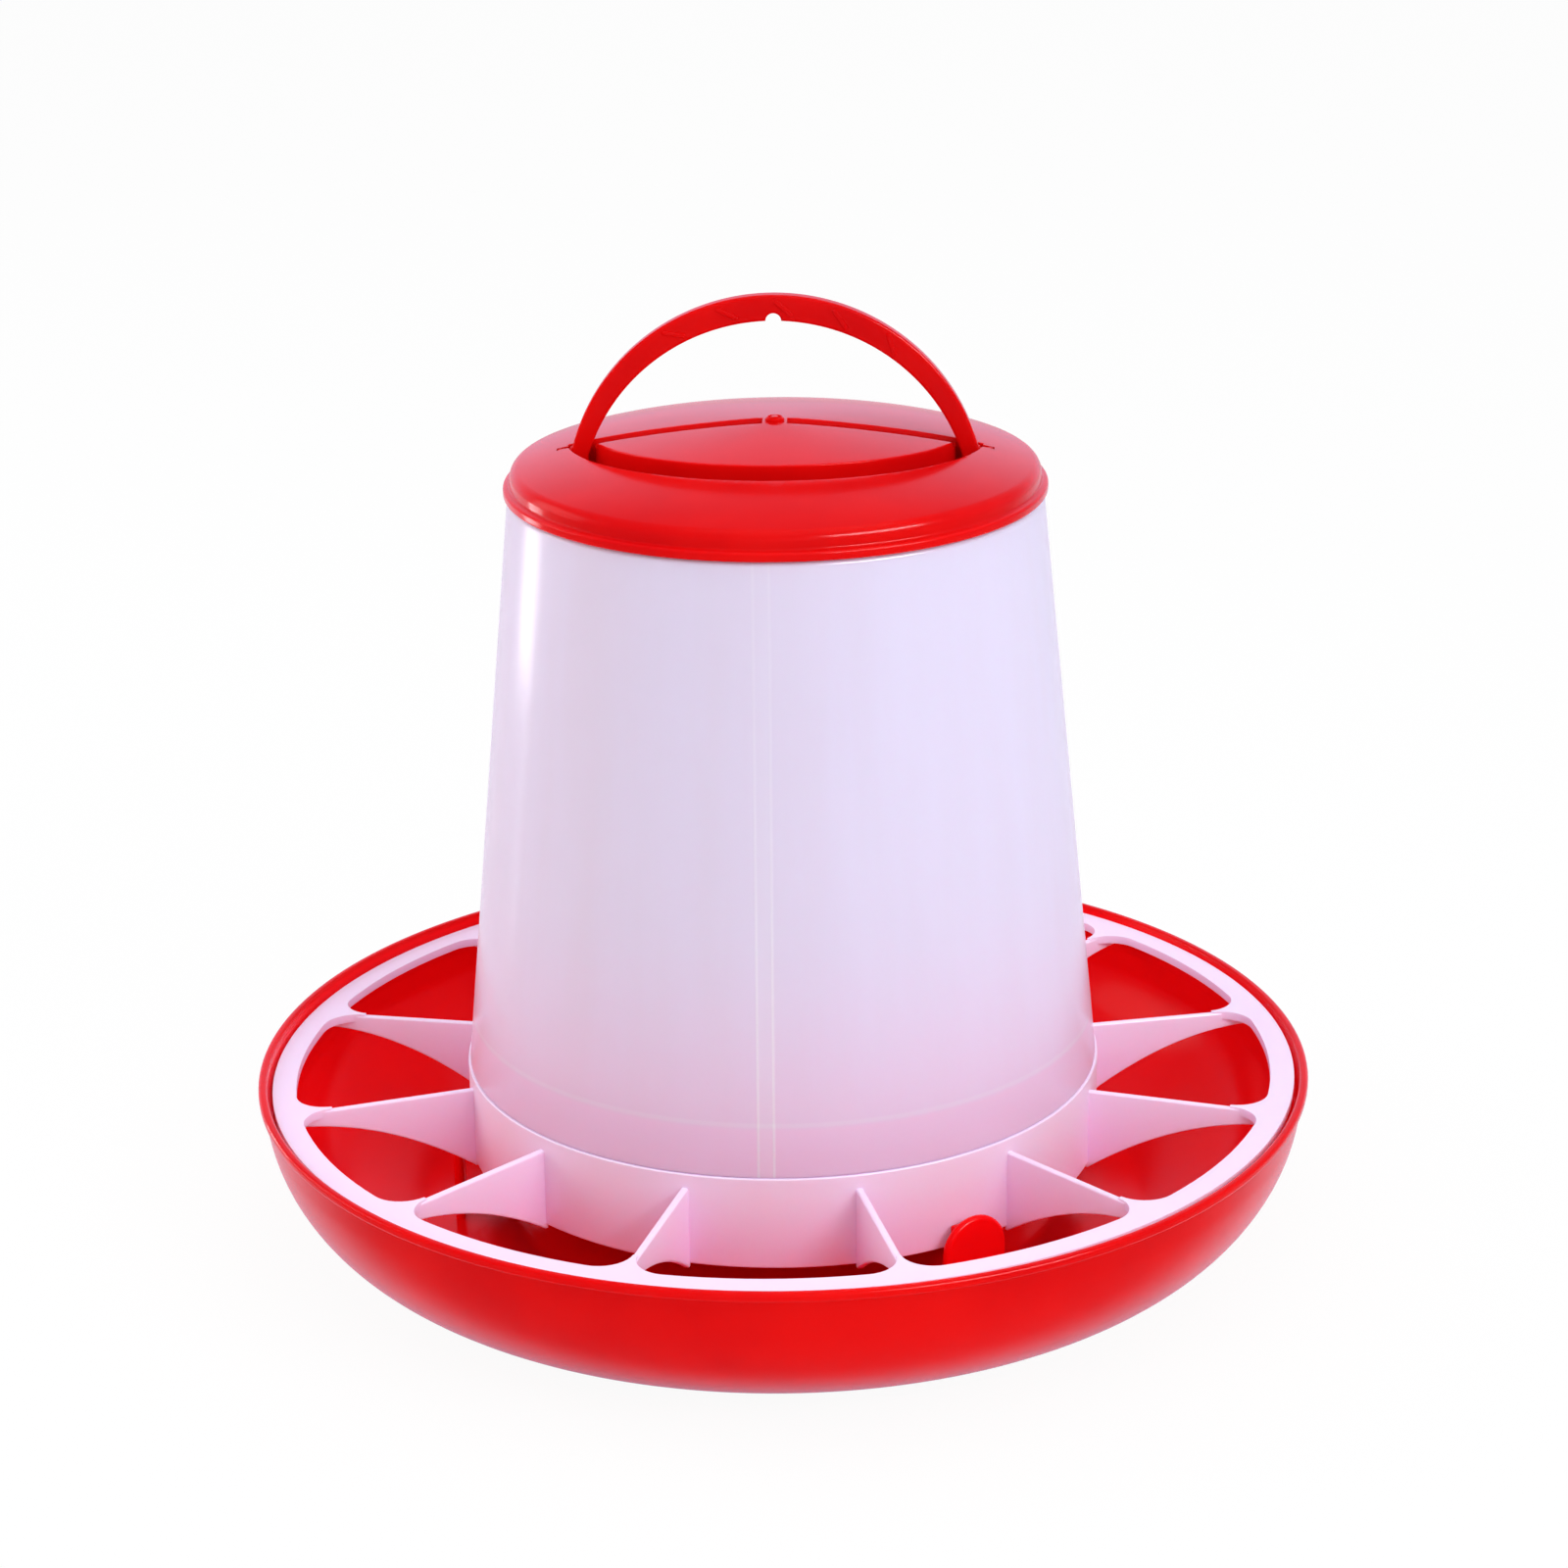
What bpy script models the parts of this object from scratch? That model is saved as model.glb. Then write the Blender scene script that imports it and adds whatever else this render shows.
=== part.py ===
"""Gravity feeder for poultry: round pan, finned grill, tapered hopper, domed lid and folding handle.

Units are metres, +Z is up, and the origin is the middle of the pan's underside.
The handle's hinge runs along X, and it folds towards -Y.
"""

import math

import bmesh
import bpy
from mathutils import Matrix, Vector

# Roundness and running gaps
SEGMENTS = 72
SEAT_GAP = 0.0003
RUNNING_GAP = 0.0004
OVERRUN = 0.004

# Feed pan
PAN_RADIUS = 0.135
PAN_HEIGHT = 0.042
PAN_WALL = 0.0018
PAN_FLOOR_RADIUS = 0.0945
RIM_WIDTH = 0.00205
BEAD_HEIGHT = 0.0024
BEAD_PROUD = 0.00135
RIM_ROUND = 0.0006
LEDGE_WIDTH = 0.0025
CONE_HEIGHT = 0.039
CONE_BASE_RADIUS = 0.070
CONE_TIP_RADIUS = 0.010

# Feed grill
RING_DROP = 0.0038
RING_THICKNESS = 0.0022
RING_WIDTH = 0.0060
FIN_COUNT = 12
FIN_THICKNESS = 0.0018
FIN_FILLET = 0.008
FIN_TOP_RISE = 0.0029
FIN_ROOT_DROP = 0.0012
FIN_TIP_DEPTH = 0.0042
SKIRT_WALL = 0.0018
SKIRT_BOTTOM = 0.021
LEDGE_TOP = 0.0446
LEDGE_PROUD = 0.0005
COLLAR_HEIGHT = 0.0124
COLLAR_WALL = 0.0016

# Hopper barrel
BARREL_HEIGHT = 0.1481
BARREL_TOP_RADIUS = 0.06586
BARREL_TAPER = 0.1
BARREL_WALL = 0.0016
NECK_STEP = 0.00296
NECK_HEIGHT = 0.0070

# Lid
LID_WALL = 0.0018
LID_SIDE_HEIGHT = 0.0092
LID_BEAD_PROUD = 0.00184
LID_BEAD_HEIGHT = 0.0022
LID_EDGE_ROUND = 0.0013
DOME_RISE = 0.0078
DOME_POWER = 1.3
NEST_FLOOR_WALL = 0.0016
GROOVE_WIDTH = 0.0020
GROOVE_DEPTH = 0.0011
GROOVE_START = 0.0040

# Carry handle
HANDLE_HALF_SPAN = 0.0502
HANDLE_RISE = 0.0397
STRAP_WIDTH = 0.0064
FOOT_WIDTH = 0.0045
STRAP_THICKNESS = 0.0040
HANG_NOTCH_RADIUS = 0.0019
PIN_RADIUS = 0.0014
PIN_LENGTH = 0.0031
HINGE_DEPTH = 0.0029
NEST_INNER_GAP = 0.0014
NEST_OUTER_GAP = 0.0006

# Twist lock between pan and grill
LOCK_COUNT = 3
LOCK_AZIMUTH = math.radians(35)
TAB_WIDTH = 0.0180
TAB_THICKNESS = 0.0024
TAB_TOP = 0.0294
LUG_REACH = 0.0018
LUG_WIDTH = 0.0080
LUG_HEIGHT = 0.0026
NIB_WIDTH = 0.0100
NIB_HEIGHT = 0.0030
NIB_SKIRT_GAP = 0.0005

# Heights and radii that follow from the sizes above
RING_TOP = PAN_HEIGHT - RING_DROP
RING_BOTTOM = RING_TOP - RING_THICKNESS
PAN_LEDGE_TOP = RING_BOTTOM - SEAT_GAP
PAN_BODY_RADIUS = PAN_RADIUS - BEAD_PROUD
PAN_SOCKET_RADIUS = PAN_BODY_RADIUS - PAN_WALL
RING_RADIUS = PAN_SOCKET_RADIUS - RUNNING_GAP
RING_INNER_RADIUS = RING_RADIUS - RING_WIDTH

BARREL_BOTTOM = LEDGE_TOP + SEAT_GAP
BARREL_SHOULDER = BARREL_BOTTOM + BARREL_HEIGHT
BARREL_TOP = BARREL_SHOULDER + NECK_HEIGHT
BARREL_BOTTOM_RADIUS = BARREL_TOP_RADIUS + BARREL_TAPER * BARREL_HEIGHT
NECK_RADIUS = BARREL_TOP_RADIUS - NECK_STEP

SKIRT_RADIUS = BARREL_BOTTOM_RADIUS + LEDGE_PROUD
COLLAR_BASE_RADIUS = BARREL_BOTTOM_RADIUS - BARREL_WALL - RUNNING_GAP
COLLAR_TOP_RADIUS = COLLAR_BASE_RADIUS - BARREL_TAPER * COLLAR_HEIGHT

LID_BOTTOM = BARREL_SHOULDER + SEAT_GAP
LID_SHOULDER = LID_BOTTOM + LID_SIDE_HEIGHT
LID_INNER_RADIUS = NECK_RADIUS + SEAT_GAP
LID_RADIUS = LID_INNER_RADIUS + LID_WALL

PIN_BORE_RADIUS = PIN_RADIUS + SEAT_GAP
LUG_RADIUS = SKIRT_RADIUS + LUG_REACH
TAB_INNER_RADIUS = LUG_RADIUS + NIB_SKIRT_GAP
TAB_MIDDLE_RADIUS = TAB_INNER_RADIUS + TAB_THICKNESS / 2


def dome_height(radius):
    """Height of the lid's outer dome at a distance from the axis."""
    share = min(radius / LID_RADIUS, 1.0)
    return LID_SHOULDER + DOME_RISE * (1 - share ** DOME_POWER)


HINGE_HEIGHT = dome_height(HANDLE_HALF_SPAN) - HINGE_DEPTH
NEST_FLOOR = HINGE_HEIGHT - STRAP_THICKNESS / 2 - RUNNING_GAP
BORE_END = HANDLE_HALF_SPAN + PIN_LENGTH + SEAT_GAP


def arc_through(half_span, rise):
    """Radius of the circle through both feet and the apex, and how far its centre lies below the feet."""
    radius = (half_span ** 2 + rise ** 2) / (2 * rise)
    return radius, radius - rise


OUTER_ARC, OUTER_ARC_DROP = arc_through(HANDLE_HALF_SPAN, HANDLE_RISE)
INNER_ARC, INNER_ARC_DROP = arc_through(HANDLE_HALF_SPAN - FOOT_WIDTH, HANDLE_RISE - STRAP_WIDTH)


def clear_scene():
    """Remove every object that the file opens with."""
    for leftover in list(bpy.data.objects):
        bpy.data.objects.remove(leftover, do_unlink=True)


def make_material(name, colour, roughness, transmission=0.0):
    """One Principled material with the part's own colour."""
    material = bpy.data.materials.new(name)
    material.use_nodes = True
    shader = material.node_tree.nodes["Principled BSDF"]
    shader.inputs["Base Color"].default_value = (*colour, 1.0)
    shader.inputs["Roughness"].default_value = roughness
    shader.inputs["Metallic"].default_value = 0.0
    shader.inputs["Transmission Weight"].default_value = transmission
    return material


def add_object(name, mesh_builder, origin=(0, 0, 0)):
    """Put a bmesh in the scene as an object whose own origin is at the given world point."""
    bmesh.ops.recalc_face_normals(mesh_builder, faces=mesh_builder.faces)
    mesh = bpy.data.meshes.new(name)
    mesh_builder.to_mesh(mesh)
    mesh_builder.free()
    mesh.transform(Matrix.Translation(-Vector(origin)))
    part = bpy.data.objects.new(name, mesh)
    part.location = origin
    bpy.context.scene.collection.objects.link(part)
    return part


def as_tool(part):
    """Mark an object as a cutter or a joined shape, which is not a piece itself."""
    part.hide_render = True
    part.display_type = 'WIRE'
    return part


def shape_with(part, operation, tool):
    """Join, cut or intersect a part with a tool object."""
    modifier = part.modifiers.new(f"{operation.lower()} {tool.name}", 'BOOLEAN')
    modifier.operation = operation
    modifier.solver = 'EXACT'
    modifier.object = as_tool(tool)


def finish_part(part, material, parent=None):
    """Give a piece its material, smooth shading and parent."""
    part.data.materials.append(material)
    part.data.shade_smooth()
    part.data.set_sharp_from_angle(angle=math.radians(30))
    if parent:
        part.parent = parent
        part.location = part.location - parent.matrix_world.translation
    bpy.context.view_layer.update()


def turned(profile, segments=SEGMENTS):
    """Spin a closed profile of (radius, height) points once round the Z axis."""
    builder = bmesh.new()
    corners = [builder.verts.new((radius, 0, height)) for radius, height in profile]
    sides = [builder.edges.new((corners[i - 1], corners[i])) for i in range(len(corners))]
    on_axis = [side for side in sides if all(corner.co.x < 1e-7 for corner in side.verts)]
    for side in on_axis:
        sides.remove(side)
        builder.edges.remove(side)
    bmesh.ops.spin(
        builder, geom=corners + sides, cent=(0, 0, 0), axis=(0, 0, 1),
        angle=math.tau, steps=segments, use_merge=True)
    bmesh.ops.remove_doubles(builder, verts=builder.verts, dist=1e-7)
    return builder


def extruded(outline, along):
    """Close an outline of 3-D points with a face and extrude it along a vector."""
    builder = bmesh.new()
    face = builder.faces.new([builder.verts.new(point) for point in outline])
    extrusion = bmesh.ops.extrude_face_region(builder, geom=[face])
    moved = [item for item in extrusion["geom"] if isinstance(item, bmesh.types.BMVert)]
    bmesh.ops.translate(builder, verts=moved, vec=along)
    return builder


def box(low, high):
    """A plain block between two corners."""
    builder = bmesh.new()
    bmesh.ops.create_cube(builder, size=1.0)
    size = Vector(high) - Vector(low)
    bmesh.ops.scale(builder, vec=size, verts=builder.verts)
    bmesh.ops.translate(builder, vec=(Vector(low) + Vector(high)) / 2, verts=builder.verts)
    return builder


def merge(target, other, matrix=Matrix.Identity(4)):
    """Copy one bmesh's geometry into another, moved by a matrix."""
    mesh = bpy.data.meshes.new("moved")
    other.to_mesh(mesh)
    other.free()
    mesh.transform(matrix)
    target.from_mesh(mesh)
    bpy.data.meshes.remove(mesh)


def turn_to(azimuth):
    """Turn from the front (-Y) towards +X by an azimuth."""
    return Matrix.Rotation(azimuth, 4, 'Z')


def arc_points(centre, radius, start, end, steps):
    """Points in a plane along an arc, with both ends."""
    angles = [start + (end - start) * step / steps for step in range(steps + 1)]
    return [(centre[0] + radius * math.cos(a), centre[1] + radius * math.sin(a)) for a in angles]


def bowl_side(thickness):
    """Profile of the pan's rounded side, moved in from the outside by a thickness, from top to floor."""
    reach = PAN_BODY_RADIUS - PAN_FLOOR_RADIUS
    top = PAN_HEIGHT - BEAD_HEIGHT
    steps = 8
    points = []
    for step in range(steps + 1):
        angle = math.pi / 2 * step / steps
        radius = PAN_FLOOR_RADIUS + (reach - thickness) * math.cos(angle)
        points.append((radius, top - (top - thickness) * math.sin(angle)))
    return points


def cone_side(drop):
    """Profile of the feed cone from its foot to its rounded tip, on top or lowered by the pan's wall."""
    tip = CONE_TIP_RADIUS - drop / 2
    foot = (CONE_BASE_RADIUS - drop, PAN_WALL - drop)
    shoulder = (tip, CONE_HEIGHT - CONE_TIP_RADIUS / 3 - drop)
    crown = (tip * 0.6, CONE_HEIGHT - CONE_TIP_RADIUS / 10 - drop)
    return [foot, shoulder, crown, (0, CONE_HEIGHT - drop)]


def make_lock_tabs():
    """Upright tabs on the pan floor, each with a nib that holds a lug of the grill down."""
    tabs = bmesh.new()
    foot = PAN_WALL / 2
    bend = TAB_TOP - TAB_WIDTH / 2
    nib_bottom = SKIRT_BOTTOM + LUG_HEIGHT + NIB_SKIRT_GAP
    outline = [(-TAB_WIDTH / 2, foot), (TAB_WIDTH / 2, foot)]
    outline += arc_points((0, bend), TAB_WIDTH / 2, 0, math.pi, 10)
    plate_points = [(across, -TAB_INNER_RADIUS, height) for across, height in outline]
    nib_low = (-NIB_WIDTH / 2, -TAB_MIDDLE_RADIUS, nib_bottom)
    nib_high = (NIB_WIDTH / 2, -SKIRT_RADIUS - NIB_SKIRT_GAP, nib_bottom + NIB_HEIGHT)
    for count in range(LOCK_COUNT):
        turn = turn_to(LOCK_AZIMUTH + math.tau * count / LOCK_COUNT)
        merge(tabs, extruded(plate_points, (0, -TAB_THICKNESS, 0)), turn)
    nibs = bmesh.new()
    for count in range(LOCK_COUNT):
        turn = turn_to(LOCK_AZIMUTH + math.tau * count / LOCK_COUNT)
        merge(nibs, box(nib_low, nib_high), turn)
    return add_object("lock_tabs", tabs), add_object("lock_nibs", nibs)


def make_pan(material):
    """Round trough with a beaded rim, a ledge for the grill and the feed cone."""
    bead_bottom = PAN_HEIGHT - BEAD_HEIGHT
    outside = [(PAN_RADIUS - RIM_WIDTH, PAN_HEIGHT), (PAN_RADIUS - RIM_ROUND, PAN_HEIGHT),
               (PAN_RADIUS, PAN_HEIGHT - RIM_ROUND), (PAN_RADIUS, bead_bottom + RIM_ROUND)]
    outside += bowl_side(0.0)
    outside += cone_side(PAN_WALL)
    inside = list(reversed(cone_side(0.0)))
    wall = [point for point in reversed(bowl_side(PAN_WALL)) if point[1] < PAN_LEDGE_TOP - LEDGE_WIDTH * 2]
    ledge_inner = PAN_SOCKET_RADIUS - LEDGE_WIDTH
    ledge = [(ledge_inner, PAN_LEDGE_TOP - LEDGE_WIDTH / 2), (ledge_inner, PAN_LEDGE_TOP),
             (PAN_SOCKET_RADIUS, PAN_LEDGE_TOP), (PAN_SOCKET_RADIUS, RING_TOP)]
    pan = add_object("feed_pan", turned(outside + inside + wall + ledge))
    tabs, nibs = make_lock_tabs()
    shape_with(tabs, 'UNION', nibs)
    shape_with(pan, 'UNION', tabs)
    finish_part(pan, material)
    return pan


def ring_inner_outline():
    """Inner edge of the grill's ring: round between the fins, with a fillet running into each fin."""
    across = FIN_THICKNESS / 4 + FIN_FILLET
    reach = RING_INNER_RADIUS - FIN_FILLET
    along = math.sqrt(reach ** 2 - across ** 2)
    touch = math.asin(across / reach)
    pitch = math.tau / FIN_COUNT
    bay_steps = 4
    fillet_steps = 4
    points = []
    for count in range(FIN_COUNT):
        turn = turn_to(pitch * (count + 0.5))
        fillet_right = arc_points((across, -along), FIN_FILLET, math.pi, math.pi * 1.5 + touch, fillet_steps)
        points += [turn @ Vector((x, y, 0)) for x, y in fillet_right]
        for step in range(1, bay_steps):
            azimuth = touch + (pitch - 2 * touch) * step / bay_steps
            points.append(turn @ turn_to(azimuth) @ Vector((0, -RING_INNER_RADIUS, 0)))
        next_turn = turn_to(pitch * (count + 1.5))
        fillet_left = arc_points(
            (-across, -along), FIN_FILLET, math.pi * 1.5 - touch, math.pi * 2, fillet_steps)
        points += [next_turn @ Vector((x, y, 0)) for x, y in fillet_left]
    return points


def make_ring():
    """Flat ring of the grill, filled between its round outside and its filleted inside, then thickened."""
    builder = bmesh.new()
    outside = [turn_to(math.tau * step / SEGMENTS) @ Vector((0, -RING_RADIUS, 0)) for step in range(SEGMENTS)]
    edges = []
    for loop in (outside, ring_inner_outline()):
        corners = [builder.verts.new((point.x, point.y, RING_BOTTOM)) for point in loop]
        edges += [builder.edges.new((corners[i - 1], corners[i])) for i in range(len(corners))]
    bmesh.ops.triangle_fill(builder, use_beauty=True, use_dissolve=False, edges=edges)
    extrusion = bmesh.ops.extrude_face_region(builder, geom=list(builder.faces))
    moved = [item for item in extrusion["geom"] if isinstance(item, bmesh.types.BMVert)]
    bmesh.ops.translate(builder, verts=moved, vec=(0, 0, RING_THICKNESS))
    return add_object("grill_ring", builder)


def make_fins():
    """Thin upright fins from the skirt to the ring, each with an arched lower edge."""
    fins = bmesh.new()
    root = SKIRT_RADIUS - SKIRT_WALL / 2
    tip = RING_INNER_RADIUS + RING_WIDTH / 2
    span = tip - SKIRT_RADIUS
    tip_bottom = RING_TOP - FIN_TIP_DEPTH
    root_bottom = SKIRT_BOTTOM - FIN_ROOT_DROP
    arch_steps = 7
    outline = [(tip, RING_TOP - RING_THICKNESS / 3), (root, RING_TOP + FIN_TOP_RISE), (root, root_bottom)]
    for step in range(arch_steps + 1):
        share = step / arch_steps
        height = tip_bottom - (tip_bottom - root_bottom) * (1 - share) ** 2
        outline.append((SKIRT_RADIUS + span * share, height))
    for count in range(FIN_COUNT):
        plate = [(-FIN_THICKNESS / 2, -radius, height) for radius, height in outline]
        turn = turn_to(math.tau * (count + 0.5) / FIN_COUNT)
        merge(fins, extruded(plate, (FIN_THICKNESS, 0, 0)), turn)
    return add_object("grill_fins", fins)


def make_lugs():
    """Short lugs at the foot of the skirt, under the pan's nibs."""
    lugs = bmesh.new()
    low = (-LUG_WIDTH / 2, -LUG_RADIUS, SKIRT_BOTTOM - FIN_ROOT_DROP / 2)
    high = (LUG_WIDTH / 2, -SKIRT_RADIUS + SKIRT_WALL / 2, SKIRT_BOTTOM + LUG_HEIGHT)
    for count in range(LOCK_COUNT):
        turn = turn_to(LOCK_AZIMUTH + math.tau * count / LOCK_COUNT)
        merge(lugs, box(low, high), turn)
    return add_object("grill_lugs", lugs)


def make_grill(material, pan):
    """Skirt that carries the barrel on its ledge, with a collar inside the barrel, joined to the fins and ring."""
    web_bottom = LEDGE_TOP - SKIRT_WALL
    collar_top = LEDGE_TOP + COLLAR_HEIGHT
    profile = [(SKIRT_RADIUS, SKIRT_BOTTOM), (SKIRT_RADIUS, LEDGE_TOP), (COLLAR_BASE_RADIUS, LEDGE_TOP),
               (COLLAR_TOP_RADIUS, collar_top), (COLLAR_TOP_RADIUS - COLLAR_WALL, collar_top),
               (COLLAR_BASE_RADIUS - COLLAR_WALL, web_bottom), (SKIRT_RADIUS - SKIRT_WALL, web_bottom),
               (SKIRT_RADIUS - SKIRT_WALL, SKIRT_BOTTOM)]
    grill = add_object("feed_grill", turned(profile), origin=(0, 0, RING_BOTTOM))
    fins = make_fins()
    shape_with(fins, 'UNION', make_ring())
    shape_with(grill, 'UNION', fins)
    shape_with(grill, 'UNION', make_lugs())
    finish_part(grill, material, pan)
    return grill


def make_barrel(material, grill):
    """Tapered hopper open at both ends, with a stepped neck for the lid."""
    shoulder_bottom = BARREL_SHOULDER - BARREL_WALL
    profile = [(BARREL_BOTTOM_RADIUS - BARREL_WALL, BARREL_BOTTOM), (BARREL_BOTTOM_RADIUS, BARREL_BOTTOM),
               (BARREL_TOP_RADIUS, BARREL_SHOULDER), (NECK_RADIUS, BARREL_SHOULDER),
               (NECK_RADIUS, BARREL_TOP), (NECK_RADIUS - BARREL_WALL, BARREL_TOP),
               (NECK_RADIUS - BARREL_WALL, shoulder_bottom),
               (BARREL_TOP_RADIUS + BARREL_TAPER * BARREL_WALL - BARREL_WALL, shoulder_bottom)]
    barrel = add_object("hopper_barrel", turned(profile), origin=(0, 0, BARREL_BOTTOM))
    finish_part(barrel, material, grill)
    return barrel


def dome_profile(drop):
    """Points over the lid's dome from its edge to the peak, lowered by a drop."""
    edge = LID_RADIUS - LID_EDGE_ROUND
    steps = 7
    radii = [edge * (1 - step / steps) for step in range(steps + 1)]
    return [(radius, dome_height(radius) - drop) for radius in radii]


def make_lid_shell():
    """Thin cap: beaded edge, straight side, rounded shoulder and low dome."""
    bead_radius = LID_RADIUS + LID_BEAD_PROUD
    outside = [(bead_radius, LID_BOTTOM), (bead_radius, LID_BOTTOM + LID_BEAD_HEIGHT),
               (LID_RADIUS, LID_BOTTOM + LID_BEAD_HEIGHT * 1.25), (LID_RADIUS, LID_SHOULDER - LID_EDGE_ROUND),
               (LID_RADIUS - LID_EDGE_ROUND * 0.3, LID_SHOULDER - LID_EDGE_ROUND * 0.3)]
    outside += dome_profile(0.0)
    inside = [point for point in reversed(dome_profile(LID_WALL)) if point[0] < LID_INNER_RADIUS - LID_WALL]
    inside += [(LID_INNER_RADIUS, LID_SHOULDER - LID_WALL), (LID_INNER_RADIUS, LID_BOTTOM)]
    return add_object("lid", turned(outside + inside), origin=(0, 0, LID_BOTTOM))


def crescent(margin):
    """Plan outline of the folded handle's nest, grown by a margin: a bow in front, square at the back."""
    back = STRAP_THICKNESS / 2 + RUNNING_GAP + margin
    steps = 22
    outer = OUTER_ARC + NEST_OUTER_GAP + margin
    inner = INNER_ARC - NEST_INNER_GAP - margin
    outer_end = math.asin(OUTER_ARC_DROP / outer)
    inner_end = math.asin(INNER_ARC_DROP / inner)
    outer_bow = arc_points((0, OUTER_ARC_DROP), outer, -outer_end, -math.pi + outer_end, steps)
    inner_bow = arc_points((0, INNER_ARC_DROP), inner, -math.pi + inner_end, -inner_end, steps)
    left = [(outer_bow[-1][0], back), (inner_bow[0][0], back)]
    right = [(inner_bow[-1][0], back), (outer_bow[0][0], back)]
    return outer_bow + left + inner_bow + right


def make_nest_bed():
    """Thick bed under the nest and the pin bores, kept below the lid's outer surface."""
    bottom = NEST_FLOOR - NEST_FLOOR_WALL
    height = LID_SHOULDER + DOME_RISE - bottom
    outline = [(x, y, bottom) for x, y in crescent(NEST_FLOOR_WALL)]
    bed = add_object("nest_bed", extruded(outline, (0, 0, height)))
    ears = bmesh.new()
    ear_half = PIN_BORE_RADIUS + NEST_FLOOR_WALL
    inner = HANDLE_HALF_SPAN - FOOT_WIDTH / 2
    for side in (-1, 1):
        ends = sorted((side * inner, side * (BORE_END + NEST_FLOOR_WALL)))
        merge(ears, box((ends[0], -ear_half, bottom), (ends[1], ear_half, bottom + height * 0.9)))
    shape_with(bed, 'UNION', add_object("pin_ears", ears))
    lowered = dome_profile(LID_WALL / 2)
    limit = [(lowered[0][0], bottom - OVERRUN)] + lowered + [(0, bottom - OVERRUN)]
    shape_with(bed, 'INTERSECT', add_object("bed_limit", turned(limit)))
    return bed


def make_nest_cutter():
    """The nest's own space, open upwards."""
    outline = [(x, y, NEST_FLOOR) for x, y in crescent(0.0)]
    return add_object("nest_cutter", extruded(outline, (0, 0, DOME_RISE + LID_SIDE_HEIGHT + OVERRUN)))


def make_bore_cutter():
    """Blind bores for the handle's pins, each under a narrower snap-in slot."""
    start = HANDLE_HALF_SPAN - FOOT_WIDTH / 2
    bores = bmesh.new()
    slots = bmesh.new()
    for side in (-1, 1):
        circle = arc_points((0, HINGE_HEIGHT), PIN_BORE_RADIUS, 0, math.tau * 15 / 16, 15)
        ring = [(side * start, y, z) for y, z in circle]
        merge(bores, extruded(ring, (side * (BORE_END - start), 0, 0)))
        ends = sorted((side * start, side * BORE_END))
        low = (ends[0], -GROOVE_WIDTH / 2, HINGE_HEIGHT)
        merge(slots, box(low, (ends[1], GROOVE_WIDTH / 2, LID_SHOULDER + DOME_RISE + OVERRUN)))
    cutter = add_object("bore_cutter", bores)
    shape_with(cutter, 'UNION', add_object("slot_cutter", slots))
    return cutter


def make_groove_cutter():
    """Narrow groove from near the peak to the nest on both sides, a fixed depth below the dome."""
    blades = bmesh.new()
    end = HANDLE_HALF_SPAN - FOOT_WIDTH
    top = LID_SHOULDER + DOME_RISE + OVERRUN
    steps = 6
    for side in (-1, 1):
        outline = [(side * end, -GROOVE_WIDTH / 2, top), (side * GROOVE_START, -GROOVE_WIDTH / 2, top)]
        for step in range(steps + 1):
            reach = GROOVE_START + (end - GROOVE_START) * step / steps
            outline.append((side * reach, -GROOVE_WIDTH / 2, dome_height(reach) - GROOVE_DEPTH))
        merge(blades, extruded(outline, (0, GROOVE_WIDTH, 0)))
    return add_object("groove_cutter", blades)


def make_lid(material, barrel):
    """Domed lid with the nest, the pin bores and the cross groove."""
    lid = make_lid_shell()
    shape_with(lid, 'UNION', make_nest_bed())
    shape_with(lid, 'DIFFERENCE', make_nest_cutter())
    shape_with(lid, 'DIFFERENCE', make_bore_cutter())
    shape_with(lid, 'DIFFERENCE', make_groove_cutter())
    finish_part(lid, material, barrel)
    return lid


def make_handle_shafts():
    """A rounded foot and a thinner pivot pin at each end of the handle, along the hinge."""
    shafts = bmesh.new()
    foot = STRAP_THICKNESS / 2
    foot_start = HANDLE_HALF_SPAN - FOOT_WIDTH
    pin_end = HANDLE_HALF_SPAN + PIN_LENGTH
    profile = [(0, foot_start), (foot, foot_start), (foot, HANDLE_HALF_SPAN),
               (PIN_RADIUS, HANDLE_HALF_SPAN), (PIN_RADIUS, pin_end), (0, pin_end)]
    for side in (-1, 1):
        lie_along_x = Matrix.Rotation(side * math.pi / 2, 4, 'Y')
        merge(shafts, turned(profile, 16), Matrix.Translation((0, 0, HINGE_HEIGHT)) @ lie_along_x)
    return shafts


def make_handle(material, lid):
    """Flat bowed strap, with a hanging notch under its apex."""
    steps = 28
    outer_start = math.asin(OUTER_ARC_DROP / OUTER_ARC)
    inner_start = math.asin(INNER_ARC_DROP / INNER_ARC)
    outer_centre = (0, HINGE_HEIGHT - OUTER_ARC_DROP)
    outer = arc_points(outer_centre, OUTER_ARC, outer_start, math.pi - outer_start, steps)
    notch_share = HANG_NOTCH_RADIUS / INNER_ARC
    inner_centre = (0, HINGE_HEIGHT - INNER_ARC_DROP)
    left = arc_points(inner_centre, INNER_ARC, math.pi - inner_start, math.pi / 2 + notch_share, steps // 2)
    right = arc_points(inner_centre, INNER_ARC, math.pi / 2 - notch_share, inner_start, steps // 2)
    notch_height = left[-1][1]
    notch = arc_points((0, notch_height), HANG_NOTCH_RADIUS, math.pi, 0, 8)[1:-1]
    outline = outer + left + notch + right
    strap = [(x, -STRAP_THICKNESS / 2, z) for x, z in outline]
    hinge = (0, 0, HINGE_HEIGHT)
    handle = add_object("carry_handle", extruded(strap, (0, STRAP_THICKNESS, 0)), origin=hinge)
    shape_with(handle, 'UNION', add_object("handle_shafts", make_handle_shafts()))
    finish_part(handle, material, lid)
    return handle


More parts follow.
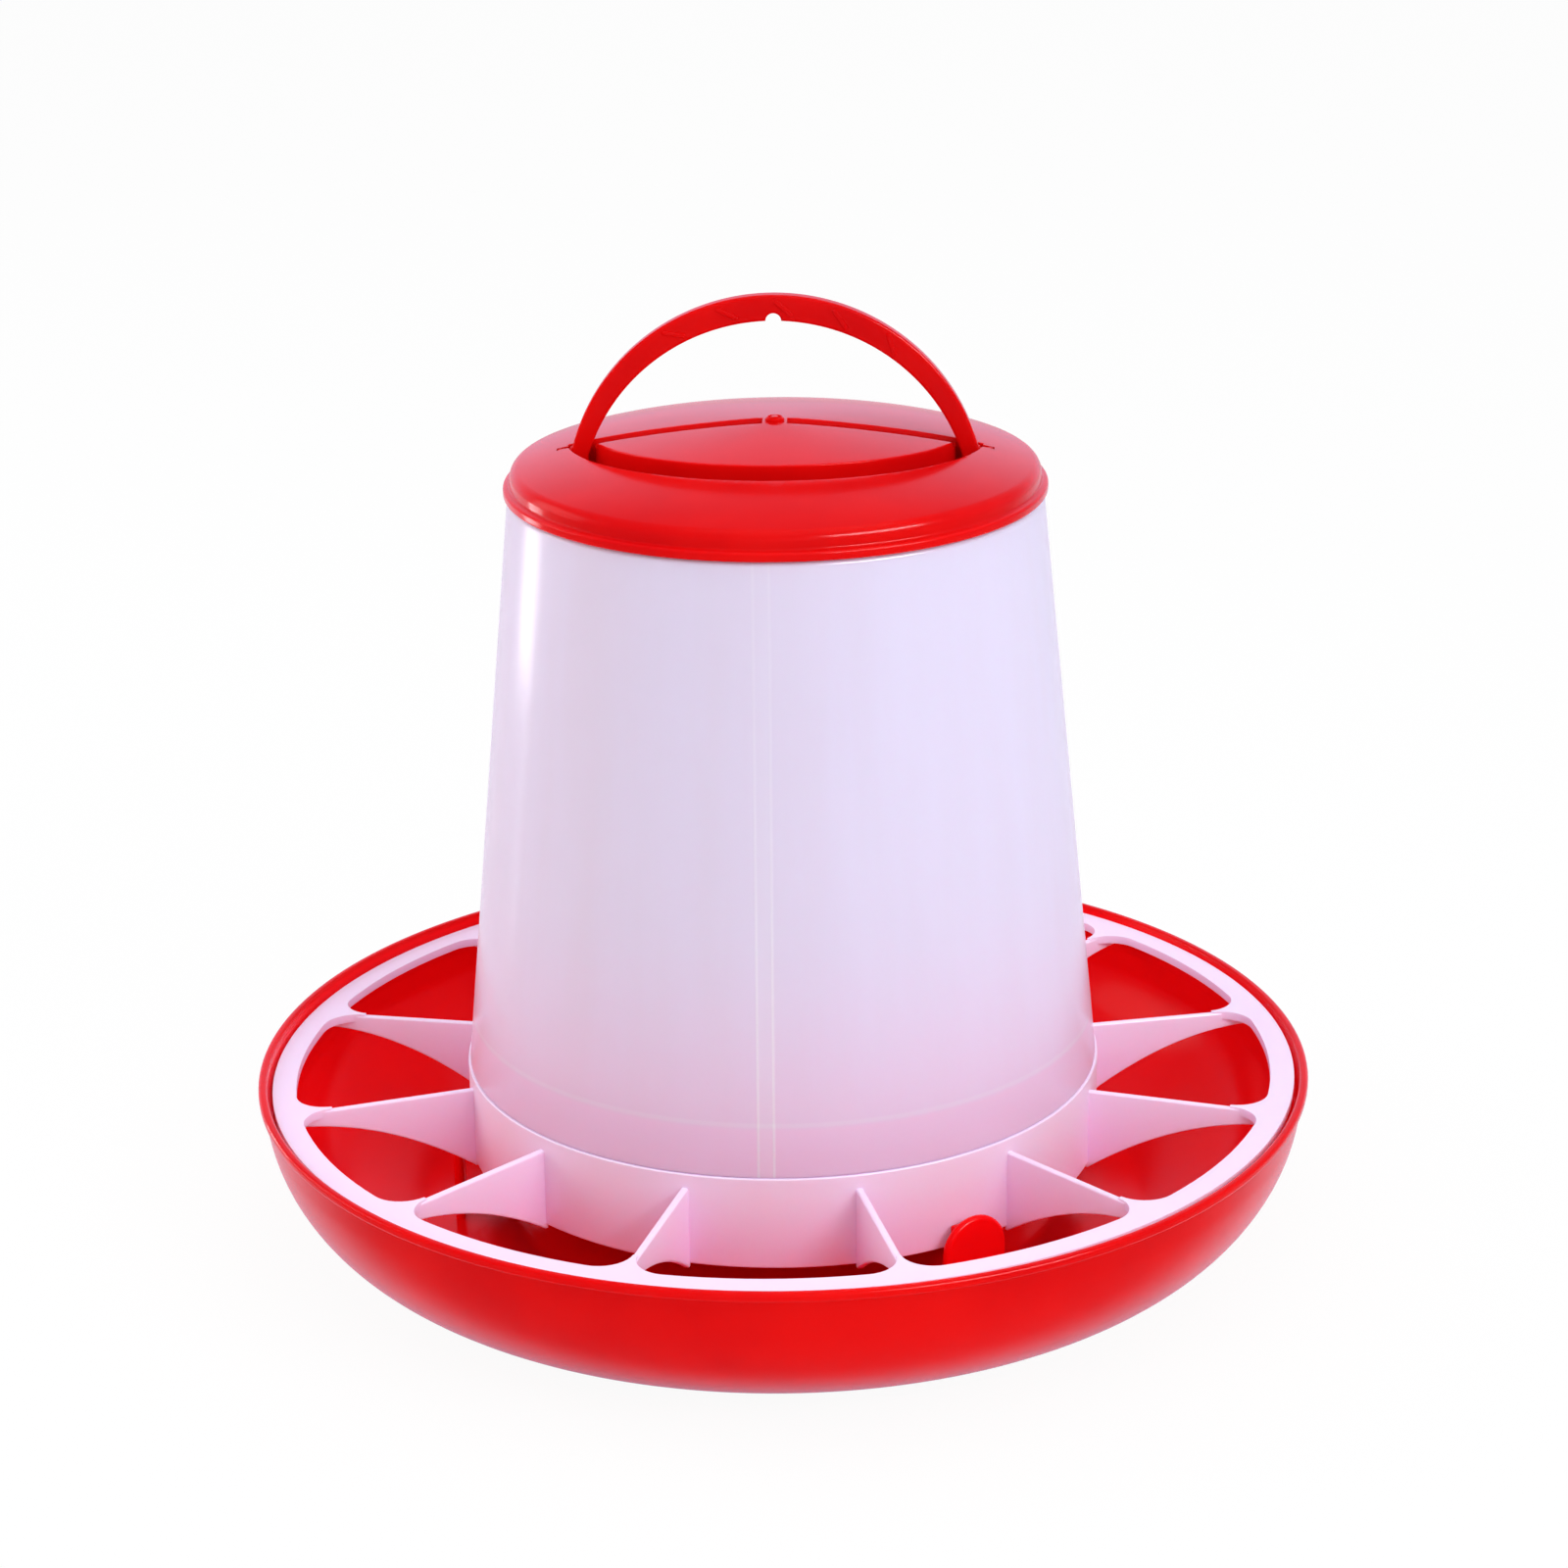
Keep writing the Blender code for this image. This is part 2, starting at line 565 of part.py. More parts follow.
def main():
    clear_scene()
    red = make_material("red_plastic", (0.75, 0.01, 0.008), 0.3)
    white = make_material("white_plastic", (0.86, 0.80, 0.88), 0.35, transmission=0.15)
    milky = make_material("milky_plastic", (0.80, 0.76, 0.90), 0.3, transmission=0.4)
    pan = make_pan(red)
    grill = make_grill(white, pan)
    barrel = make_barrel(milky, grill)
    lid = make_lid(red, barrel)
    make_handle(red, lid)


main()
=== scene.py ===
import math

import bpy
from mathutils import Matrix, Vector


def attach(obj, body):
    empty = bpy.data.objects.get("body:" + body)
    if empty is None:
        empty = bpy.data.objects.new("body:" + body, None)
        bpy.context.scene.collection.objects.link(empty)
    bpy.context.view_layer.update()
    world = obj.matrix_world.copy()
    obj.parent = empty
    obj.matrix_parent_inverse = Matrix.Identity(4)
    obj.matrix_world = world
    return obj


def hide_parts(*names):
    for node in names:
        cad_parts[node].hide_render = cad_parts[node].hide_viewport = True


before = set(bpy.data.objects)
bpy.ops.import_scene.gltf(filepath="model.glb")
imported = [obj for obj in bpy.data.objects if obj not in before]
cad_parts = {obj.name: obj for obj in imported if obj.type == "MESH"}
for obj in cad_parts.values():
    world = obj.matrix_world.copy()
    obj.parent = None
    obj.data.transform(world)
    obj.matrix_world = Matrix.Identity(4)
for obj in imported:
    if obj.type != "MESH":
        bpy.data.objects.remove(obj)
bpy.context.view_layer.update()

# Gravity feeder for poultry, dressed over its CAD frame: metres, +Z up, the viewer on the -Y side.
print("frame:", ", ".join(sorted(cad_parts)))


# Outlines, drawn as lists of (across, up) pairs


def arcAround(centre, radius, start, end, steps):
    turns = [start + (end - start) * step / steps for step in range(steps + 1)]
    return [(centre[0] + radius * math.cos(turn), centre[1] + radius * math.sin(turn)) for turn in turns]


def softCorners(corners, steps=5, closed=True):
    # a corner given as (across, up, round) becomes an arc tangent to both its sides
    path = []
    count = len(corners)
    for index, corner in enumerate(corners):
        here = Vector(corner[:2])
        if len(corner) < 3 or (not closed and index in (0, count - 1)):
            path.append(tuple(here))
            continue
        back = (Vector(corners[index - 1][:2]) - here).normalized()
        ahead = (Vector(corners[(index + 1) % count][:2]) - here).normalized()
        half = back.angle(ahead) / 2
        centre = here + (back + ahead).normalized() * corner[2] / math.sin(half)
        first = here + back * corner[2] / math.tan(half) - centre
        sweep = first.angle_signed(here + ahead * corner[2] / math.tan(half) - centre)
        for step in range(steps + 1):
            spoke = first.copy()
            spoke.rotate(Matrix.Rotation(-sweep * step / steps, 2))
            path.append(tuple(centre + spoke))
    return path


def evenSteps(points, longest, closed=True):
    # long straight sides get corners on the way, so that the turned faces stay near square
    path = []
    ends = list(zip(points, points[1:] + points[:1])) if closed else list(zip(points, points[1:]))
    for here, there in ends:
        parts = max(1, math.ceil(math.dist(here, there) / longest))
        path += [tuple(a + (b - a) * part / parts for a, b in zip(here, there)) for part in range(parts)]
    return path if closed else path + [points[-1]]


# Modelling steps

mergeDistance = 2e-6  # corners nearer than this become one


def pick(piece):
    bpy.ops.object.select_all(action="DESELECT")
    piece.select_set(True)
    bpy.context.view_layer.objects.active = piece


def walkWire(name, points, closed=True):
    # one vertex, extruded from corner to corner
    bpy.ops.object.select_all(action="DESELECT")
    bpy.ops.mesh.primitive_plane_add(size=0.002, location=(0, 0, 0))
    wire = bpy.context.object
    wire.name = wire.data.name = name
    bpy.ops.object.mode_set(mode="EDIT")
    bpy.ops.mesh.select_mode(type="VERT")
    bpy.ops.mesh.merge(type="CENTER")
    bpy.ops.transform.translate(value=points[0])
    for here, there in zip(points, points[1:] + (points[:1] if closed else [])):
        move = [b - a for a, b in zip(here, there)]
        bpy.ops.mesh.extrude_vertices_move(TRANSFORM_OT_translate={"value": move})
    bpy.ops.mesh.select_all(action="SELECT")
    bpy.ops.mesh.remove_doubles(threshold=mergeDistance)
    bpy.ops.object.mode_set(mode="OBJECT")
    return wire


def spinRound(piece, steps):
    pick(piece)
    bpy.ops.object.mode_set(mode="EDIT")
    bpy.ops.mesh.select_all(action="SELECT")
    bpy.ops.mesh.spin(steps=steps, angle=math.tau, center=(0, 0, 0), axis=(0, 0, 1))
    bpy.ops.mesh.select_all(action="SELECT")
    bpy.ops.mesh.remove_doubles(threshold=mergeDistance)
    bpy.ops.mesh.normals_make_consistent(inside=False)
    bpy.ops.object.mode_set(mode="OBJECT")
    return piece


def turnedPiece(name, outline, steps, closed=True):
    return spinRound(walkWire(name, [(across, 0, up) for across, up in outline], closed), steps)


def slabFrom(name, points, along):
    # a flat outline, filled and pulled out to a slab
    slab = walkWire(name, points)
    bpy.ops.object.mode_set(mode="EDIT")
    bpy.ops.mesh.select_all(action="SELECT")
    bpy.ops.mesh.edge_face_add()
    bpy.ops.mesh.extrude_region_move(TRANSFORM_OT_translate={"value": along})
    bpy.ops.mesh.select_all(action="SELECT")
    bpy.ops.mesh.normals_make_consistent(inside=False)
    bpy.ops.object.mode_set(mode="OBJECT")
    return slab


def loftThrough(name, loops):
    # the first loop is filled, then pulled from loop to loop; each corner remembers its place on the loop
    loft = walkWire(name, loops[0])
    spots = loft.data.attributes.new("spot", "INT", "POINT")
    for vertex in loft.data.vertices:
        gaps = [(vertex.co - Vector(corner)).length for corner in loops[0]]
        spots.data[vertex.index].value = gaps.index(min(gaps))
    bpy.ops.object.mode_set(mode="EDIT")
    bpy.ops.mesh.select_all(action="SELECT")
    bpy.ops.mesh.edge_face_add()
    for loop in loops[1:]:
        bpy.ops.mesh.extrude_region_move(TRANSFORM_OT_translate={"value": (0, 0, 0.0001)})
        bpy.ops.object.mode_set(mode="OBJECT")
        spots = loft.data.attributes["spot"].data
        for vertex in loft.data.vertices:
            if vertex.select:
                vertex.co = loop[spots[vertex.index].value]
        bpy.ops.object.mode_set(mode="EDIT")
    bpy.ops.mesh.select_all(action="SELECT")
    bpy.ops.mesh.normals_make_consistent(inside=False)
    bpy.ops.object.mode_set(mode="OBJECT")
    loft.data.attributes.remove(loft.data.attributes["spot"])
    return loft


def bevelWhere(piece, test, width, segments=3):
    # rounds the edges whose two ends pass the test
    pick(piece)
    bpy.ops.object.mode_set(mode="EDIT")
    bpy.ops.mesh.select_mode(type="EDGE")
    bpy.ops.mesh.select_all(action="DESELECT")
    bpy.ops.object.mode_set(mode="OBJECT")
    corners = piece.data.vertices
    for edge in piece.data.edges:
        edge.select = test(corners[edge.vertices[0]].co, corners[edge.vertices[1]].co)
        if edge.select:
            corners[edge.vertices[0]].select = corners[edge.vertices[1]].select = True
    bpy.ops.object.mode_set(mode="EDIT")
    bpy.ops.mesh.bevel(offset=width, offset_type="OFFSET", segments=segments, profile=0.5, affect="EDGES")
    bpy.ops.object.mode_set(mode="OBJECT")
    return piece


def sameLevel(axis, levels, slack=1e-5):
    # a test for bevelWhere: both ends lie on one of the levels of an axis
    def test(a, b):
        return any(abs(a[axis] - level) < slack and abs(b[axis] - level) < slack for level in levels)
    return test


def roundBlock(name, low, high, edge):
    bpy.ops.object.select_all(action="DESELECT")
    size = Vector(high) - Vector(low)
    bpy.ops.mesh.primitive_cube_add(size=1, location=(Vector(low) + Vector(high)) / 2)
    block = bpy.context.object
    block.name = block.data.name = name
    block.scale = size
    bpy.ops.object.transform_apply(location=True, rotation=True, scale=True)
    return bevelWhere(block, lambda a, b: True, edge, 2)


def copyRound(piece, count, start=0.0):
    # copies of one piece round the Z axis, each with its own mesh, joined to one object
    ring = []
    for index in range(count):
        twin = piece.copy()
        twin.data = piece.data.copy()
        twin.rotation_euler = (0, 0, start + math.tau * index / count)
        bpy.context.scene.collection.objects.link(twin)
        ring.append(twin)
    bpy.data.objects.remove(piece)
    bpy.ops.object.select_all(action="DESELECT")
    for twin in ring:
        twin.select_set(True)
    bpy.context.view_layer.objects.active = ring[0]
    bpy.ops.object.transform_apply(location=True, rotation=True, scale=True)
    bpy.ops.object.join()
    return ring[0]


def combine(piece, tool, operation="UNION"):
    cut = piece.modifiers.new(operation.lower(), "BOOLEAN")
    cut.operation, cut.solver, cut.object = operation, "EXACT", tool
    pick(piece)
    bpy.ops.object.modifier_apply(modifier=cut.name)
    bpy.data.objects.remove(tool)
    return piece


def finishPiece(piece, name, node, body, material, sharpAngle=38):
    pick(piece)
    piece.name = piece.data.name = name
    bpy.ops.object.transform_apply(location=True, rotation=True, scale=True)
    bpy.ops.object.shade_smooth_by_angle(angle=math.radians(sharpAngle))
    steady = piece.modifiers.new("steady shading", "WEIGHTED_NORMAL")
    steady.keep_sharp = True
    bpy.ops.object.modifier_apply(modifier=steady.name)
    piece.data.materials.clear()
    piece.data.materials.append(material)
    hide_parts(node)
    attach(piece, body)
    print(f"{name}: {len(piece.data.polygons)} faces")
    return piece


# Materials


class Tone:
    # a socket in a material, so that shading is written as sums and products
    def __init__(self, finish, socket):
        self.finish, self.socket = finish, socket

    def work(self, operation, first, second=0.0):
        return self.finish.add("ShaderNodeMath", {"operation": operation}, {0: first, 1: second})

    def __add__(self, other):
        return self.work("ADD", self, other)

    def __sub__(self, other):
        return self.work("SUBTRACT", self, other)

    def __rsub__(self, other):
        return self.work("SUBTRACT", other, self)

    def __mul__(self, other):
        return self.work("MULTIPLY", self, other)

    def __truediv__(self, other):
        return self.work("DIVIDE", self, other)

    def __rtruediv__(self, other):
        return self.work("DIVIDE", other, self)

    __radd__, __rmul__ = __add__, __mul__

    def root(self):
        return self.work("SQRT", self)

    def size(self):
        return self.work("ABSOLUTE", self)

    def atLeast(self, limit):
        return self.work("MAXIMUM", self, limit)

    def ramp(self, start, end):
        # 0 before start, 1 after end, smooth between
        settings = {"interpolation_type": "SMOOTHSTEP"}
        return self.finish.add("ShaderNodeMapRange", settings, {0: self, 1: start, 2: end, 3: 0.0, 4: 1.0})


class Finish:
    # one material: the constants of its shader, and the nodes that vary over the surface
    def __init__(self, name, roughness, constants):
        self.material = bpy.data.materials.new(name)
        self.material.use_nodes = True
        self.tree = self.material.node_tree
        self.shader = self.tree.nodes["Principled BSDF"]
        self.shader.inputs["Roughness"].default_value = roughness
        for socket, value in constants.items():
            self.shader.inputs[socket].default_value = value
        self.place = self.add("ShaderNodeTexCoord", {}, {}, "Object")
        self.x, self.y, self.z = (
            self.add("ShaderNodeSeparateXYZ", {}, {0: self.place}, axis) for axis in ("X", "Y", "Z"))

    def add(self, kind, settings, inputs, output=0):
        node = self.tree.nodes.new(kind)
        for name, value in settings.items():
            setattr(node, name, value)
        for name, value in inputs.items():
            self.feed(node.inputs[name], value)
        return Tone(self, node.outputs[output])

    def feed(self, socket, value):
        if isinstance(value, Tone):
            self.tree.links.new(value.socket, socket)
        else:
            socket.default_value = value

    def colour(self, factor, first, second):
        first, second = (c if isinstance(c, Tone) else (*c, 1.0) for c in (first, second))
        return self.add("ShaderNodeMix", {"data_type": "RGBA"}, {0: factor, 6: first, 7: second}, 2)

    def grain(self, scale, detail=2.0, place=None):
        return self.add("ShaderNodeTexNoise", {}, {"Vector": place or self.place, "Scale": scale, "Detail": detail})

    def bump(self, height, settings):
        inputs = {"Height": height, "Distance": settings["reliefDepth"], "Strength": settings["reliefStrength"]}
        return self.add("ShaderNodeBump", {}, inputs, "Normal")

    def unevenGloss(self, clouds, settings):
        return clouds * settings["roughSpread"] + (settings["roughness"] - settings["roughSpread"] / 2)

    def paint(self, sockets):
        for socket, value in sockets.items():
            self.feed(self.shader.inputs[socket], value)
        return self.material


redSettings = {
    # the third colour is a painted glow for the pan's inner face, standing in for light through its wall
    "deep": (0.62, 0.0018, 0.0028), "bright": (0.74, 0.0036, 0.0032), "trough": (0.92, 0.0035, 0.0060),
    "troughEdge": (0.985, 1.015), "cloudScale": 22.0, "cloudRange": (0.3, 0.7),
    "grainScale": 650.0, "grainShare": 0.6, "turningScale": 900.0, "turningShare": 0.4,
    "reliefDepth": 0.00003, "reliefStrength": 0.5, "roughness": 0.15, "roughSpread": 0.06,
    "glancing": (0.48, 0.74), "glancingGloss": 0.46, "edgeOn": (0.78, 0.97), "edgeFade": 0.8,
    "handleTone": 0.95, "handleGloss": 0.4,
    "shader": {
        "Specular IOR Level": 0.05, "Subsurface Weight": 0.5, "Subsurface Scale": 0.006,
        "Subsurface Radius": (1.0, 0.12, 0.08), "IOR": 1.49, "Coat Roughness": 0.1}}


def redFinish(name, turned=False, trough=False, tone=1.0, gloss=1.0):
    s = redSettings
    finish = Finish(name, s["roughness"], s["shader"])
    clouds = finish.grain(s["cloudScale"], 3.0)
    deep, bright = ([part * tone for part in s[shade]] for shade in ("deep", "bright"))
    base = finish.colour(clouds.ramp(*s["cloudRange"]), deep, bright)
    relief = finish.grain(s["grainScale"]) * s["grainShare"]
    reach = (finish.x * finish.x + finish.y * finish.y).root()
    if turned:  # the mould was turned, which leaves faint rings
        settings = {"noise_dimensions": "1D"}
        inputs = {"W": reach + finish.z, "Scale": s["turningScale"], "Detail": 1.0}
        relief = relief + finish.add("ShaderNodeTexNoise", settings, inputs) * s["turningShare"]
    if trough:  # painted glow: the pan's inner face gets a brighter red, standing in for light coming through its wall
        pan = panSettings
        out = (reach - pan["floorRadius"]).atLeast(0) / (pan["bodyRadius"] - pan["floorRadius"] - pan["wall"] / 2)
        down = (pan["beadBottom"] - finish.z) / (pan["beadBottom"] - pan["wall"] / 2)
        inner = 1 - (out * out + down * down).ramp(*s["troughEdge"])
        base = finish.colour(inner, base, s["trough"])
    # gloss is weak from the front and strong at a glancing look, but not quite edge-on
    glancing = finish.add("ShaderNodeLayerWeight", {}, {"Blend": 0.5}, "Facing")
    coat = glancing.ramp(*s["glancing"]) * s["glancingGloss"]
    coat = coat * (1 - glancing.ramp(*s["edgeOn"]) * s["edgeFade"]) * gloss
    return finish.paint({
        "Base Color": base, "Roughness": finish.unevenGloss(clouds, s), "Coat Weight": coat,
        "Normal": finish.bump(relief, s)})


whiteSettings = {
    # the second colour is a painted pink, standing in for red light bounced up from the pan
    "pale": (0.92, 0.77, 1.0), "paintedRedBounce": (0.91, 0.60, 0.92), "paintedBounceFade": (0.016, 0.046), "paintedBounceShare": 0.8,
    "cloudScale": 18.0, "cloudShare": 0.15, "grainScale": 700.0, "reliefDepth": 0.00003, "reliefStrength": 0.4,
    "roughness": 0.36, "roughSpread": 0.1,
    "shader": {
        "Specular IOR Level": 0.35, "Subsurface Weight": 0.4, "Subsurface Scale": 0.0025,
        "Subsurface Radius": (1.0, 0.7, 0.8), "IOR": 1.49}}


def whiteFinish():
    s = whiteSettings
    finish = Finish("whitePlastic", s["roughness"], s["shader"])
    clouds = finish.grain(s["cloudScale"], 3.0)
    # painted light: the grill's lower part is tinted pink, standing in for red light bounced up from the pan
    low = 1 - finish.z.ramp(*s["paintedBounceFade"])
    base = finish.colour(low * s["paintedBounceShare"] + clouds * s["cloudShare"], s["pale"], s["paintedRedBounce"])
    return finish.paint({
        "Base Color": base, "Roughness": finish.unevenGloss(clouds, s),
        "Normal": finish.bump(finish.grain(s["grainScale"]), s)})


milkySettings = {
    # the rose colour serves both the drawn streaks and a painted shade down the left side
    "lilac": (0.78, 0.69, 1.0), "roseStreakAndLeftShade": (0.75, 0.61, 0.77), "paintedRedBleed": (0.98, 0.55, 0.85), "seamPaleAndPaintedLine": (0.95, 0.88, 1.0),
    "cloudScale": 9.0, "drawnScale": 55.0, "drawnStretch": (1.0, 1.0, 0.06), "drawnRange": (0.3, 0.7),
    "drawnShare": 0.25, "paintedShadeFade": 0.06, "paintedShadeShare": 0.65, "paintedBleedFade": (0.040, 0.110), "paintedBleedShare": 0.5,
    # the pink, the low shares and the collar's share give painted light seen through the lower wall
    "collarTop": 0.057, "collarBlur": 0.0009, "paintedCollarBleedShare": 0.28, "collarLine": 0.0578, "paintedCollarLineShare": 0.15,
    "seamMiddle": -0.0012, "seamPlace": 0.0019, "seamHalf": 0.0005, "seamShare": 0.45, "stripShare": 0.12,
    "seamFade": (0.06, 0.17), "seamLost": 0.75, "frontFade": 0.02, "fineBlur": 0.0002,
    "grainScale": 500.0, "drawnHeight": 0.5, "grainHeight": 0.2, "seamHeight": 4,
    "reliefDepth": 0.00004, "reliefStrength": 0.4, "roughness": 0.2, "roughSpread": 0.05,
    "shader": {
        "Specular IOR Level": 0.2, "Subsurface Weight": 0.6, "Subsurface Scale": 0.006,
        "Subsurface Radius": (1.0, 0.8, 0.9), "IOR": 1.49}}


def milkyFinish():
    s = milkySettings
    finish = Finish("milkyPlastic", s["roughness"], s["shader"])
    clouds = finish.grain(s["cloudScale"])
    streaks = finish.add("ShaderNodeMapping", {}, {"Vector": finish.place, "Scale": s["drawnStretch"]})
    drawn = finish.grain(s["drawnScale"], 3.0, streaks)
    # painted shade: the left side turns darker and pinker, as if less lit, mixed with the drawn streaks
    left = (finish.x * -1).ramp(-s["paintedShadeFade"], s["paintedShadeFade"])
    shade = drawn.ramp(*s["drawnRange"]) * s["drawnShare"] + left * s["paintedShadeShare"]
    base = finish.colour(shade, s["lilac"], s["roseStreakAndLeftShade"])
    # painted light: the grill's pink showing through the lower wall, most of all below its collar's top line, is
    # painted into the barrel's colour
    low = 1 - finish.z.ramp(*s["paintedBleedFade"])
    collar = 1 - finish.z.ramp(s["collarTop"] - s["collarBlur"], s["collarTop"] + s["collarBlur"])
    base = finish.colour(low * s["paintedBleedShare"] + collar * s["paintedCollarBleedShare"], base, s["paintedRedBleed"])
    # painted light: a pale line at the collar's top, standing in for the collar's rim showing through the wall
    collarLine = 1 - (finish.z - s["collarLine"]).size().ramp(s["fineBlur"], s["collarBlur"])
    # two fine mould seams down the front, with a paler strip between them
    front = (0 - finish.y).ramp(0.0, s["frontFade"])
    off = (finish.x - s["seamMiddle"]).size() - s["seamPlace"]
    seam = (1 - off.size().ramp(s["seamHalf"] * 0.2, s["seamHalf"])) * front
    strip = (1 - off.ramp(-s["fineBlur"], s["fineBlur"])) * front
    strength = 1 - finish.z.ramp(*s["seamFade"]) * s["seamLost"]
    lines = (seam * s["seamShare"] + strip * s["stripShare"]) * strength + collarLine * s["paintedCollarLineShare"]
    base = finish.colour(lines, base, s["seamPaleAndPaintedLine"])
    relief = drawn * s["drawnHeight"] + finish.grain(s["grainScale"]) * s["grainHeight"]
    relief = relief + seam * strength * s["seamHeight"]
    return finish.paint({
        "Base Color": base, "Roughness": finish.unevenGloss(clouds, s), "Normal": finish.bump(relief, s)})


# Feed pan: one turned profile with the lock tabs standing on its floor

panSettings = {
    "radius": 0.135, "height": 0.042, "wall": 0.0018, "bodyRadius": 0.13365, "floorRadius": 0.0945,
    "beadBottom": 0.0396, "beadTuck": 0.00005, "beadBlend": 0.0003, "beadRound": 0.0009, "lipInner": 0.13295,
    "socketRadius": 0.13185, "socketTop": 0.0382, "ledgeTop": 0.0369, "ledgeInner": 0.12935, "ledgeBottom": 0.0338,
    "ledgeFoot": (0.1287, 0.0290), "coneHeight": 0.039, "coneCrown": (0.0055, 0.0382), "coneShoulder": (0.010, 0.0357),
    "coneBase": 0.070, "hollowCrown": (0.0052, 0.0362), "hollowShoulder": (0.0091, 0.03387),
    "turnSteps": 192, "sideSteps": 26, "longestStep": 0.006,
    "tabWidth": 0.018, "tabThickness": 0.0024, "tabTop": 0.0294, "tabInner": 0.08347, "tabEdge": 0.0011,
    "tabSteps": 24, "tabCount": 3, "tabAzimuth": 35,
    "nibWidth": 0.010, "nibBottom": 0.0241, "nibHeight": 0.003, "nibReach": 0.08167, "nibEdge": 0.0005}


def panSide(thickness):
    s = panSettings
    reach = s["bodyRadius"] - s["floorRadius"] - thickness
    side = []
    for step in range(s["sideSteps"] + 1):
        turn = math.pi / 2 * step / s["sideSteps"]
        side.append((s["floorRadius"] + reach * math.cos(turn),
                     s["beadBottom"] - (s["beadBottom"] - thickness) * math.sin(turn)))
    return side


def makeTab():
    s = panSettings
    half, back = s["tabWidth"] / 2, -s["tabInner"] - s["tabThickness"]
    top = arcAround((0, s["tabTop"] - half), half, 0, math.pi, s["tabSteps"])
    outline = [(-half, s["wall"] / 2), (half, s["wall"] / 2)] + top
    tab = slabFrom("tab", [(across, -s["tabInner"], up) for across, up in outline], (0, -s["tabThickness"], 0))
    bevelWhere(tab, sameLevel(1, [-s["tabInner"], back]), s["tabEdge"], 4)
    low = (-s["nibWidth"] / 2, -s["tabInner"] - s["tabThickness"] / 2, s["nibBottom"])
    high = (s["nibWidth"] / 2, -s["nibReach"], s["nibBottom"] + s["nibHeight"])
    return combine(tab, roundBlock("nib", low, high, s["nibEdge"]))


def makePan(material):
    s = panSettings
    hollow = [(0, s["coneHeight"] - s["wall"]), (*s["hollowCrown"], 0.003), (*s["hollowShoulder"], 0.004),
              (s["coneBase"] - s["wall"], 0, 0.0025), (s["floorRadius"], 0)]
    under = evenSteps(softCorners(hollow, closed=False), s["longestStep"], closed=False)
    outside = list(reversed(panSide(0)))[1:-2]
    rim = [outside[-1], (s["bodyRadius"] - s["beadTuck"], s["beadBottom"] - s["beadBlend"], 0.0004),
           (s["radius"], s["beadBottom"] + s["beadBlend"], s["beadRound"]), (s["radius"], s["height"], s["beadRound"]),
           (s["lipInner"], s["height"], 0.0008), (s["socketRadius"], s["socketTop"], 0.0012),
           (s["socketRadius"], s["ledgeTop"], 0.0004), (s["ledgeInner"], s["ledgeTop"], 0.0007),
           (s["ledgeInner"], s["ledgeBottom"], 0.0015), s["ledgeFoot"]]
    rim = softCorners(rim, closed=False)[1:-1]
    inside = [point for point in panSide(s["wall"]) if point[1] < s["ledgeFoot"][1]]
    cone = [inside[-1], (s["coneBase"], s["wall"], 0.006), (*s["coneShoulder"], 0.006), (*s["coneCrown"], 0.003),
            (0, s["coneHeight"])]
    over = evenSteps(softCorners(cone, closed=False), s["longestStep"], closed=False)[1:]
    pan = turnedPiece("pan", under + outside + rim + inside + over, s["turnSteps"], closed=False)
    combine(pan, copyRound(makeTab(), s["tabCount"], math.radians(s["tabAzimuth"])))
    return finishPiece(pan, "panShell", "feed_pan", "pan", material)


# Feed grill: skirt with the barrel's ledge and a collar inside it, twelve fins, the outer ring and three lugs

grillSettings = {
    "skirtRadius": 0.08117, "skirtWall": 0.0018, "skirtBottom": 0.021, "ledgeTop": 0.0446,
    "collarBase": 0.07867, "collarTop": 0.07743, "collarWall": 0.0016, "collarRise": 0.0570,
    "turnSteps": 192, "longestStep": 0.006, "rooted": 0.0009,
    "ringOuter": 0.13145, "ringInner": 0.12545, "ringTop": 0.0404, "ringBottom": 0.0382, "lean": (0.0008, -0.0006),
    "fillet": 0.008, "filletSteps": 9, "edgeSteps": 10,
    "finCount": 12, "finThickness": 0.0018, "finRootTop": 0.0411, "finRootBottom": 0.0198,
    "finTipRadius": 0.12845, "finTipTop": 0.03967, "finTipBottom": 0.0362, "finEdge": 0.0005, "archSteps": 18,
    "lugReach": 0.08297, "lugWidth": 0.008, "lugBottom": 0.0204, "lugTop": 0.0236, "lugEdge": 0.0004}


def ringInnerEdge():
    # round between the fins, with a fillet running into each fin
    s = grillSettings
    across = s["finThickness"] * 0.3 + s["fillet"]
    reach = s["ringInner"] - s["fillet"]
    along = math.sqrt(reach ** 2 - across ** 2)
    touch = math.asin(across / reach)
    pitch = math.tau / s["finCount"]
    leaving = arcAround((across, -along), s["fillet"], math.pi, 1.5 * math.pi + touch, s["filletSteps"])
    meeting = arcAround((-across, -along), s["fillet"], 1.5 * math.pi - touch, math.tau, s["filletSteps"])
    edge = []
    for fin in range(s["finCount"]):
        turn = Matrix.Rotation(pitch * (fin + 0.5), 2)
        ahead = Matrix.Rotation(pitch * (fin + 1.5), 2)
        edge += [turn @ Vector(corner) for corner in leaving]
        for step in range(1, s["edgeSteps"]):
            azimuth = touch + (pitch - 2 * touch) * step / s["edgeSteps"]
            edge.append(turn @ Matrix.Rotation(azimuth, 2) @ Vector((0, -s["ringInner"])))
        edge += [ahead @ Vector(corner) for corner in meeting]
    return edge


